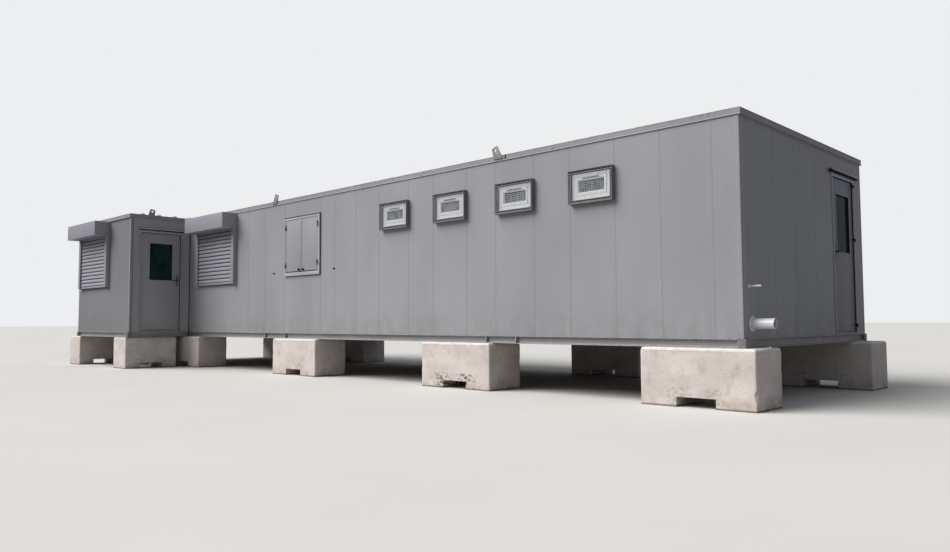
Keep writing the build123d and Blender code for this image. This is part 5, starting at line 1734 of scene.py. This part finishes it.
@dataclass
class RollerShutters:
    """The two roller shutters: box, guides, laths, bottom bar and roll."""

    width: float = 1570.0
    box_depth: float = 320.0
    box_height: float = 298.0
    guide: tuple[float, float] = (100.0, 80.0)
    lath: float = 77.0
    bulge: float = 16.0
    bottom: float = 1040.0
    bar: float = 40.0
    rights: tuple[tuple[float, float], ...] = ((-10228.0, 8.0), (-13240.0, -1243.0))

    def lath_outline(self) -> list[tuple[float, float]]:
        """Section of one lath, hooded at its foot and hooked above, as distance outwards and height."""
        rise, out = self.lath, self.bulge
        bulge = [
            (0.5, 5.0), (0.88, 11.0), (1.0, 18.0), (0.97, 28.0),
            (0.8, 42.0), (0.58, 54.0), (0.36, 63.0), (0.14, 68.5),
        ]  # fmt: skip
        face = [(out * share, z) for share, z in bulge]
        return [(-3.0, 0.0), (-2.0, 1.0), *face, (-2.0, rise - 5.0), (-3.0, rise + 0.4)]

    def build(self, shop: Shop) -> None:
        """Builds both shutters."""
        Form("shutter_housings", ("shutter_boxes",), 4.0, 3).done(shop.shutter, slot="shutter_steel")
        Form("shutter_side_guides", ("shutter_guides",), 3.0, 2).done(shop.shutter, slot="shutter_steel")
        dress(shop.zinc, "shutter_rolls")
        shadow = Form("guide_painted_shadows")
        inside = self.guide[0] - 36.0
        names = ("shutter_bottom_bars", "bar_seals", "shutter_end_caps")
        bars, seals, caps = (Form(name) for name in names)
        for right, wall in self.rights:
            left, y = right - self.width, wall - self.guide[1] / 2
            z = self.bottom
            h = self.bar
            bar = [(0, -4), (2, 10), (14, 12), (h - 6, 11), (h - 3, 5), (h, 2), (h, -4)]
            path = [Vector((left + inside, y, z)), Vector((right - inside, y, z))]
            bars.sweep(soften([(-u, v) for u, v in bar], 1.5), path, FRONT, False)
            lip = [(4, -4), (4, 6), (-3, 5), (-3, -4)]
            seals.sweep(lip, [p - UP for p in path], FRONT, False)
            top, low_y = CABIN.wall_top, wall - self.box_depth
            # Black strips beside the guides stand for the shadow between the lath ends and the guides:
            # painted shadow
            for x, way in ((left + self.guide[0], 1), (right - self.guide[0], -1)):
                a, b = sorted((x - way * 6, x + way * 1.2))
                shadow.block((a, y - 16, z + 2), (b, y - 9, top - self.box_height - 1), 0.6, 1)
            for x, out in ((right, 1), (left, -1)):
                a, b = sorted((x - out * 14, x + out * 1.5))
                caps.block((a, low_y + 1.0, top - self.box_height - 0.8), (b, wall, top - 0.4), 4.0, 3)
        bars.done(shop.shutter, slot="shutter_steel")
        seals.done(shop.rubber, slot="black_fittings")
        caps.done(shop.shutter, slot="shutter_steel")
        shadow.done(shop.rubber, slot="black_fittings")
        meshes = []
        for index, (right, wall) in enumerate(self.rights):
            left, y = right - self.width, wall - self.guide[1] / 2
            lath = Form("lath")
            path = [Vector((left + inside, 0, 0)), Vector((right - inside, 0, 0))]
            lath.sweep([(-z, out) for out, z in self.lath_outline()], path, FRONT, False)
            # The lath's foot and joints are darkened as painted shade
            lath.mark(-0.6, lambda c: c.z < 10.0).mark(-1.0, lambda c: not 4.0 < c.z < self.lath - 8.0)
            data = shop.rows.run(
                lath.mesh(), Columns=1, Column_step=(0, 0, 0), Rows=14, Row_step=(0, 0, self.lath),
                Turn=(0.012, 0.0, 0.0), Seed=3 + index, Finish=shop.shutter,
            )  # fmt: skip
            data.transform(Matrix.Translation((0, y, self.bottom + self.bar)))
            meshes.append(data)
        joined = bmesh.new()
        for data in meshes:
            joined.from_mesh(data)
        both = bpy.data.meshes.new("shutter_laths")
        joined.to_mesh(both)
        joined.free()
        both.materials.append(shop.shutter)
        placed("shutter_laths", both, "cabin", ("shutter_curtains",), 40.0)
        dome = [(0, 0), (0, 5), (1.4, 4.4), (2.4, 2.2), (2.7, 0)]
        rivet = Form("rivet").lathe(dome, (0, 0, 0), RIGHT_END, 8)
        seed = rivet.mesh()
        for index, (right, wall) in enumerate(self.rights):
            data = shop.rows.run(
                seed, Columns=3, Column_step=(0, -(self.box_depth - 60.0) / 2, 0), Rows=2,
                Row_step=(0, 0, self.box_height - 44.0), Turn=(3.0, 0, 0), Seed=5, Finish=shop.zinc,
            )  # fmt: skip
            low = CABIN.wall_top - self.box_height + 22.0
            data.transform(Matrix.Translation((right + 1.4, wall - 30.0, low)))
            placed(f"shutter_rivets_{index + 1}", data, "cabin", ())


@dataclass
class Door:
    """A flush steel door that faces the right-hand end: frame, leaf, glass, blind, handle and hinges.

    Attributes:
        name: "end" or "bay".
        wall: X of the wall's face.
        hinge: Y of the hinge line.
        width: Width of the leaf.
        side: Which way the leaf lies from its hinges along Y.
        clearance: Gap between the leaf and the frame, at the hinges and above.
        backset: Distance of the lock from the leaf's free edge.
        rebate: How much wider than the leaf the frame's rebate is.
    """

    name: str
    wall: float
    hinge: float
    width: float
    side: int
    bottom: float = 128.0
    top: float = 2123.0
    glass: tuple[float, float] = (468.0, 750.0)
    sill: float = 1165.0
    recess: float = 12.0
    leaf: float = 44.0
    slat_pitch: float = 34.0
    head: float = 2193.0
    clearance: float = 7.0
    backset: float = 55.0
    rebate: float = 17.0

    def centre(self) -> float:
        """Y of the leaf's middle."""
        return self.hinge + self.side * (self.clearance + self.width / 2)

    def glazing(self, shop: Shop) -> None:
        """Builds the seals round the glass and the slats of the blind behind it."""
        body, face = f"{self.name}_door", self.wall - self.recess
        middle, (w, h) = self.centre(), self.glass
        path = rectangle((middle - w / 2, self.sill), (middle + w / 2, self.sill + h), RIGHT_END, face)
        seal = Form(f"{self.name}_glass_seal")
        seal.sweep([(0, -16), (0, 3), (-4, 1), (-5, -16)], path, RIGHT_END)
        seal.done(shop.rubber, body=body, slot="black_fittings")
        dress(shop.glass, f"{self.name}_door_glass")
        slat = Form("slat")
        outline = [(-14, -1.6), (0, 0.4), (14, -1.6), (14, -1.0), (0, 1.0), (-14, -1.0)]
        ends = [Vector((0, middle - w / 2 + 8, 0)), Vector((0, middle + w / 2 - 8, 0))]
        slat.sweep(outline, ends, Vector((0.82, 0.0, 0.57)), False)
        data = shop.rows.run(
            slat.mesh(), Columns=1, Column_step=(0, 0, 0), Rows=int((h - 20) // self.slat_pitch),
            Row_step=(0, 0, self.slat_pitch), Turn=(0.0, 0.02, 0.0), Seed=2, Finish=shop.blind,
        )  # fmt: skip
        data.transform(Matrix.Translation((face - self.leaf - 14.0, 0, self.sill + 22.0)))
        placed(f"{self.name}_blind", data, body, (), 60.0)

    def handle(self, shop: Shop) -> None:
        """Builds the lever set with its keyhole and screws."""
        body, face = f"{self.name}_door", self.wall - self.recess
        y = self.hinge + self.side * (self.clearance + self.width - self.backset)
        lever = Form(f"{self.name}_lever", (f"{self.name}_door_handle",), 2.5, 3)
        lever.tint(lambda c: c.x < face + 9.5)
        lever.done(shop.lever, shop.plate, body=body, slot="handle_metal")
        lock = Form(f"{self.name}_keyway")
        lock.lathe([(0, 0), (0, 9), (2.5, 8.5), (3, 6), (2, 0)], (face + 9, y, 1085.0), RIGHT_END, 20)
        for z in (1055.0, 1262.0):
            lock.lathe([(0, 0), (0, 4.5), (1.2, 4), (1.8, 0)], (face + 9, y, z), RIGHT_END, 10)
        lock.done(shop.zinc, body=body, slot="galvanised")

    def build(self, shop: Shop) -> None:
        """Builds the door."""
        name, body = self.name, f"{self.name}_door"
        skin = shop.dark_leaf if name == "end" else shop.bay_leaf
        low, high = sorted((self.hinge, self.hinge + self.side * (self.width + self.rebate)))
        jamb = Form(f"{name}_frame", (f"{name}_door_frame",), 2.0, 2)
        jamb.cut((UP, self.top + 9.0), (RIGHT_END, self.wall))
        jamb.tint(lambda c: c.z > self.top + 9.0 and c.x > self.wall + 8.0)

        def gasket(c: Vector) -> bool:
            """Whether a face lies in the rebate round the leaf, which is darkened as painted shade."""
            edge = min(c.y - low, high - c.y) < 1 or abs(c.z - self.top - self.clearance) < 1
            return c.x < self.wall and low - 1 < c.y < high + 1 and edge

        # The rebate's faces take the dark finish as painted shade
        jamb.tint(gasket, 2)
        jamb.done(shop.door, shop.light, shop.lever, slot="frame_paint")
        Form(f"{name}_leaf_skin", (f"{name}_door_leaf",), 2.0, 2).done(skin, body=body, slot="door_paint")
        fittings = shop.black if name == "end" else shop.bay_leaf
        Form(f"{name}_hinge_plates", (f"{name}_door_hinges",), 0.8, 2).done(fittings, slot="black_fittings")
        Form(f"{name}_hinge_straps", (f"{name}_door_straps",), 0.8, 2).done(
            fittings, body=body, slot="black_fittings"
        )
        strip = Form(f"{name}_drip_strip", (f"{name}_door_canopy",), 0.9, 2)
        box = [v.co.y for v in strip.bm.verts]
        strip.done(shop.light, slot="frame_paint")
        # Black strips under the drip strip and behind the leaf's edges stand for the shadow lines there:
        # painted shade
        shade_strips = Form(f"{name}_seals_as_painted_shade")
        start = (self.wall + 0.3, min(box) + 4, self.head - 15)
        shade_strips.block(start, (self.wall + 44, max(box) - 4, self.head - 3), 1.0)
        behind = self.wall - self.recess - self.leaf
        stop = rectangle((low + 1, self.bottom - 12), (high - 1, self.top + 6), RIGHT_END, behind)
        shade_strips.sweep([(-14, -12), (-14, -2.5), (0, -2.5), (0, -12)], stop, RIGHT_END)
        shade_strips.done(shop.rubber, slot="black_fittings")
        self.glazing(shop)
        self.handle(shop)
        far = self.hinge + self.side * (self.width + self.rebate + 2)
        first, last = sorted((self.hinge - self.side * 2, far))
        sill = Form(f"{name}_threshold")
        lip = [(-2, 0), (-2, 4), (-5, 15), (-9, 16), (-14, 4), (-14, 0)]
        z = self.bottom - 2.0
        path = [Vector((self.wall + 10, first, z)), Vector((self.wall + 10, last, z))]
        sill.sweep(soften([(-u - 4, v) for u, v in lip], 1.0), path, RIGHT_END, False)
        sill.done(shop.zinc, slot="galvanised")


@dataclass
class Pipework:
    """The soil pipe and the overflow through the right-hand end wall."""

    soil: tuple[float, float] = (217.0, 252.0)
    overflow: tuple[float, float] = (152.0, 640.0)

    def build(self, shop: Shop) -> None:
        """Builds both pipes from their turned outlines."""
        face, out = CABIN.end_wall, RIGHT_END
        soil = Form("soil_pipe_spigot")
        outline = [
            (-70, 51.8), (-70, 55), (-1, 55), (-1, 80), (1, 82), (4.5, 82), (6, 80.5), (6.5, 60), (9, 55.4),
            (226, 55), (228, 56.5), (240, 56.5), (243, 55.5), (244, 54), (244, 52.4), (243, 51.8),
        ]  # fmt: skip
        soil.lathe(outline, (face, *self.soil), out, 56)
        soil.done(shop.pipe, replaces=("soil_pipe",), slot="white_pvc", smooth=28.0)
        tube = Form("overflow_pipe_end")
        outline = [
            (-70, 8.85), (-70, 10.75), (-1, 10.75), (-1, 24), (1, 25), (5, 25), (6.5, 23), (8, 12),
            (11, 10.9), (133, 10.75), (134, 10.2), (134, 9.2), (133, 8.85),
        ]  # fmt: skip
        tube.lathe(outline, (face, *self.overflow), out, 28)
        tube.done(shop.pipe, replaces=("overflow_pipe",), slot="white_pvc", smooth=28.0)


@dataclass
class Supports:
    """The cast blocks under the cabin, each with its own chips and hollows."""

    length: float = 1320.0
    width: float = 630.0
    height: float = 630.0
    edge: float = 28.0
    slot: tuple[float, float] = (450.0, 108.0)
    bay_size: tuple[float, float] = (1050.0, 600.0)
    front: tuple[float, ...] = (-523.0, -4124.0, -8098.0, -12245.0)
    rear: tuple[float, ...] = (-430.0, -3920.0, -7400.0, -11030.0, -13945.0)
    bay: tuple[tuple[float, float], ...] = ((-12575.0, -742.0), (-15038.0, -755.0))
    coarse: float = 42.0
    chipped: float = -4124.0
    front_row: float = 236.0
    rear_row: float = 258.0
    foot_edge: float = 7.0
    chip_depths: tuple[float, float] = (16.0, 44.0)
    side_edge: float = 17.0

    def stations(self, end: float, *marks: float) -> list[float]:
        """Places of the mesh lines along one direction, closer together near the edges.

        Args:
            end: Where the block ends; it runs from -end to end.
            marks: Places that need a line of their own.

        Returns:
            The places, in order.
        """
        near = (0.0, 7.0, 15.0, 25.0, 40.0)
        found = {end - d for d in near} | {d - end for d in near} | set(marks)
        inner = end - near[-1]
        count = max(2, round(2 * inner / self.coarse))
        for n in range(1, count):
            place = -inner + 2 * inner * n / count
            if all(abs(place - mark) > 14.0 for mark in found):
                found.add(place)
        return sorted(found)

    def cast(self, form: Form, x: float, y: float, size: tuple[float, float], turned: bool) -> None:
        """Adds one block.

        Args:
            form: The form that takes it.
            x: X of its middle.
            y: Y of its middle.
            size: Its length and width.
            turned: Whether its length runs along Y.
        """
        half = (size[0] / 2, size[1] / 2, self.height / 2)
        reach, rise = self.slot[0] / 2, self.slot[1]
        xs = self.stations(half[0], -reach, reach, -reach - 12, reach + 12)
        ys = self.stations(half[1])
        zs = self.stations(half[2], rise - half[2], rise - half[2] + 12)
        solid = {}

        def filled(i: int, j: int, k: int) -> bool:
            """Whether a cell of the grid is concrete."""
            if not (0 <= i < len(xs) - 1 and 0 <= j < len(ys) - 1 and 0 <= k < len(zs) - 1):
                return False
            return not (abs(xs[i] + xs[i + 1]) / 2 < reach and (zs[k] + zs[k + 1]) / 2 < rise - half[2])

        def vertex(i: int, j: int, k: int) -> bmesh.types.BMVert:
            """The vertex at a corner of the grid, made once."""
            if (i, j, k) not in solid:
                plain = Vector((xs[i], ys[j], zs[k]))
                solid[i, j, k] = form.bm.verts.new(self.shaped(plain, half, (x, y), turned))
            return solid[i, j, k]

        steps = {
            0: ((0, 0, 0), (0, 1, 0), (0, 1, 1), (0, 0, 1)),
            1: ((0, 0, 0), (0, 0, 1), (1, 0, 1), (1, 0, 0)),
            2: ((0, 0, 0), (1, 0, 0), (1, 1, 0), (0, 1, 0)),
        }
        for i in range(-1, len(xs) - 1):
            for j in range(-1, len(ys) - 1):
                for k in range(-1, len(zs) - 1):
                    here = filled(i, j, k)
                    for way, (di, dj, dk) in enumerate(((1, 0, 0), (0, 1, 0), (0, 0, 1))):
                        if here != filled(i + di, j + dj, k + dk):
                            corners = [vertex(i + di + a, j + dj + b, k + dk + c) for a, b, c in steps[way]]
                            face = form.bm.faces.new(corners if here else corners[::-1])
                            beside = abs(abs(xs[i] + xs[min(i + 1, len(xs) - 1)]) / 2 - reach)
                            if beside < 170.0 and zs[k] < rise - half[2] + 60.0:
                                face[form.wear_and_light] = (1.0 - beside / 240.0) * (1.0 if x == self.chipped else 0.3)

    def shaped(
        self, p: Vector, half: tuple[float, float, float], centre: tuple[float, float], turned: bool
    ) -> Vector:
        """Rounds, chips and roughens one point of a block's surface.

        Args:
            p: The point on the plain block, from its middle.
            half: Half the block's length, width and height.
            centre: X and Y of its middle.
            turned: Whether its length runs along Y.

        Returns:
            The point's place in the maker's frame.
        """
        place = Vector((p.y, p.x, p.z)) if turned else p.copy()
        place += Vector((centre[0], centre[1], -half[2]))
        top = self.edge if p.z > 0 else self.foot_edge
        seed = place / 1000.0
        shallow, deep = self.chip_depths
        depth = deep if centre[0] == self.front[0] and p.x > 0 else shallow
        chip = max(0.0, noise.fractal(seed * 9.0, 0.9, 2.1, 4) - 0.25) * depth
        core = Vector(
            (
                max(-half[0] + top, min(half[0] - top, p.x)),
                max(-half[1] + top, min(half[1] - top, p.y)),
                max(-half[2] + self.foot_edge, min(half[2] - self.edge, p.z)),
            )
        )
        if p.z < half[2] - self.edge:
            keep = self.side_edge
            core.x = max(-half[0] + keep, min(half[0] - keep, p.x))
            core.y = max(-half[1] + keep, min(half[1] - keep, p.y))
        away = p - core
        axes = sum(1 for value in away if abs(value) > 0.5)
        if axes >= 2 and p.z > -half[2] + 1.0:
            reach = max(abs(value) for value in away)
            p = core + away.normalized() * (reach - chip)
        wave = noise.fractal(seed * 3.0, 1.0, 2.0, 4) * 2.2
        if p.z > -half[2] + 1.0:
            inward = Vector((p.x / half[0], p.y / half[1], 0.0))
            strongest = max(range(2), key=lambda n: abs(inward[n]))
            shift = Vector((0.0, 0.0, 0.0))
            shift[strongest] = -math.copysign(0.6 + wave * 0.5, inward[strongest])
            if abs(inward[strongest]) > 0.96:
                p = p + shift
        moved = Vector((p.y, p.x, p.z)) if turned else p
        return moved + Vector((centre[0], centre[1], -half[2]))

    def build(self, shop: Shop) -> None:
        """Casts every block."""
        size = (self.length, self.width)
        for name, places, turned, of in (
            ("front_blocks", [(x, self.front_row) for x in self.front], False, size),
            ("rear_blocks", [(x, CABIN.width - self.rear_row) for x in self.rear], False, size),
            ("bay_blocks", list(self.bay), True, self.bay_size),
        ):
            form = Form(name.replace("blocks", "castings"))
            for x, y in places:
                self.cast(form, x, y, of, turned)
            form.done(shop.concrete, replaces=(name,), slot="concrete", smooth=45.0)


# Studio


@dataclass
class Studio:
    """A plain pale floor, soft light from the front left, and the camera at the photograph's angle."""

    floor_colour: str = "cfccc8"
    floor_bounce: str = "898785"
    card_colour: str = "b0aeaa"
    card_place: tuple[float, float, float] = (1.2, -2.3, 0.0)
    card_size: tuple[float, float] = (8.6, 2.3)
    backdrop: str = "eceef0"
    ambient: float = 0.3
    sun: float = 4.0
    sun_from: tuple[float, float, float] = (-0.4545, -0.5417, 0.7071)
    softness: float = 50.0
    camera_place: tuple[float, float, float] = (3414.0, -7499.0, 292.0)
    yaw: float = -43.86
    pitch: float = 3.37
    roll: float = -0.26
    focal_pixels: float = 766.04
    picture: tuple[int, int] = (950, 552)
    reach: float = 220.0

    def floor(self) -> None:
        """Lays the floor."""
        material, tree, shader = blank("matt studio floor")
        mottle = patches(tree, (2500.0, 2500.0, 2500.0), 0.3, 0.7, 3.0)
        colour = coat(tree, linear(self.floor_colour), linear("d5d3cf"), mottle, 0.6)
        # The floor looks pale but throws little light up, as open ground does
        seen = add(tree, "ShaderNodeLightPath").outputs["Is Camera Ray"]
        place = add(tree, "ShaderNodeTexCoord").outputs["Object"]
        away = add(tree, "ShaderNodeVectorMath", {0: place, 1: self.card_place}, operation="SUBTRACT")
        shape = (*(1.0 / s for s in self.card_size), 0.0)
        fitted = add(tree, "ShaderNodeVectorMath", {0: away.outputs[0], 1: shape}, operation="MULTIPLY")
        far = add(tree, "ShaderNodeVectorMath", {0: fitted.outputs[0]}, operation="LENGTH").outputs[1]
        card = add(tree, "ShaderNodeMapRange", {"Value": far, "From Min": 1.1, "From Max": 0.9}).outputs[0]
        bounce = coat(tree, linear(self.floor_bounce), linear(self.card_colour), card, 1.0)
        colour = coat(tree, bounce, colour, seen, 1.0)
        tree.links.new(colour, shader.inputs["Base Color"])
        shader.inputs["Roughness"].default_value = 0.9
        shader.inputs["Specular IOR Level"].default_value = 0.15
        data = bpy.data.meshes.new("studio_floor")
        r = self.reach
        data.from_pydata([(-r, -r, 0), (r, -r, 0), (r, r, 0), (-r, r, 0)], [], [(0, 1, 2, 3)])
        data.materials.append(material)
        ground = bpy.data.objects.new("studio_floor", data)
        bpy.context.scene.collection.objects.link(ground)

    def light(self) -> None:
        """Sets the soft light and the pale surround."""
        world = bpy.data.worlds.new("studio")
        bpy.context.scene.world = world
        world.use_nodes = True
        tree = world.node_tree
        tree.nodes.clear()
        seen = add(tree, "ShaderNodeLightPath").outputs
        plain = add(tree, "ShaderNodeBackground", {"Color": (0.9, 0.96, 1.06, 1.0), "Strength": self.ambient})
        pale = add(tree, "ShaderNodeBackground", {"Color": linear(self.backdrop), "Strength": 1.0})
        rays = {0: seen["Is Camera Ray"], 1: seen["Is Transmission Ray"]}
        shown = add(tree, "ShaderNodeMath", rays, operation="MAXIMUM")
        layers = {number: node.outputs[0] for number, node in enumerate((shown, plain, pale))}
        mixed = add(tree, "ShaderNodeMixShader", layers)
        add(tree, "ShaderNodeOutputWorld", {"Surface": mixed.outputs[0]})
        lamp = bpy.data.lights.new("key", "SUN")
        lamp.energy, lamp.angle, lamp.color = self.sun, math.radians(self.softness), (1.0, 0.985, 0.96)
        key = bpy.data.objects.new("key", lamp)
        key.rotation_euler = Vector(self.sun_from).to_track_quat("Z", "Y").to_euler()
        bpy.context.scene.collection.objects.link(key)

    def camera(self) -> None:
        """Places the camera."""
        data = bpy.data.cameras.new("camera")
        data.sensor_width = 36.0
        data.lens = self.focal_pixels / self.picture[0] * data.sensor_width
        data.clip_end = 1000.0
        yaw, pitch, roll = (math.radians(a) for a in (self.yaw, self.pitch, self.roll))
        ahead = Vector((math.sin(yaw) * math.cos(pitch), math.cos(yaw) * math.cos(pitch), math.sin(pitch)))
        level = Vector((math.cos(yaw), -math.sin(yaw), 0.0))
        above = level.cross(ahead)
        across = level * math.cos(roll) + above * math.sin(roll)
        upright = above * math.cos(roll) - level * math.sin(roll)
        turn = Matrix((across, upright, -ahead)).transposed().to_4x4()
        camera = bpy.data.objects.new("camera", data)
        camera.matrix_world = Matrix.Translation(TO_SITE @ Vector(self.camera_place)) @ turn
        bpy.context.scene.collection.objects.link(camera)
        bpy.context.scene.camera = camera

    def build(self) -> None:
        """Sets up the studio."""
        self.floor()
        self.light()
        self.camera()
        bpy.context.scene.view_settings.view_transform = "Standard"


def write_sizes() -> None:
    """Brings the view layer up to date."""
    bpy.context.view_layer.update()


def main() -> None:
    """Builds every sub-assembly in order and says what was built."""
    logging.basicConfig(level=logging.INFO, format="%(message)s")
    shop = open_shop()
    assemblies = [
        BaseFrame(),
        WallShell(),
        RoofEdge(),
        Windows(),
        Hatch(),
        RollerShutters(),
        Door("end", CABIN.end_wall, CABIN.width - 336.0, 730.0, -1),
        Door("bay", CABIN.bay_side, CABIN.bay_front + 251.0, 796.0, 1),
        Pipework(),
        Supports(),
    ]
    for assembly in assemblies:
        before = len(bpy.data.objects)
        assembly.build(shop)
        log.info("%s: %d pieces", type(assembly).__name__, len(bpy.data.objects) - before)
    Studio().build()
    write_sizes()


if __name__ == "__main__":
    main()
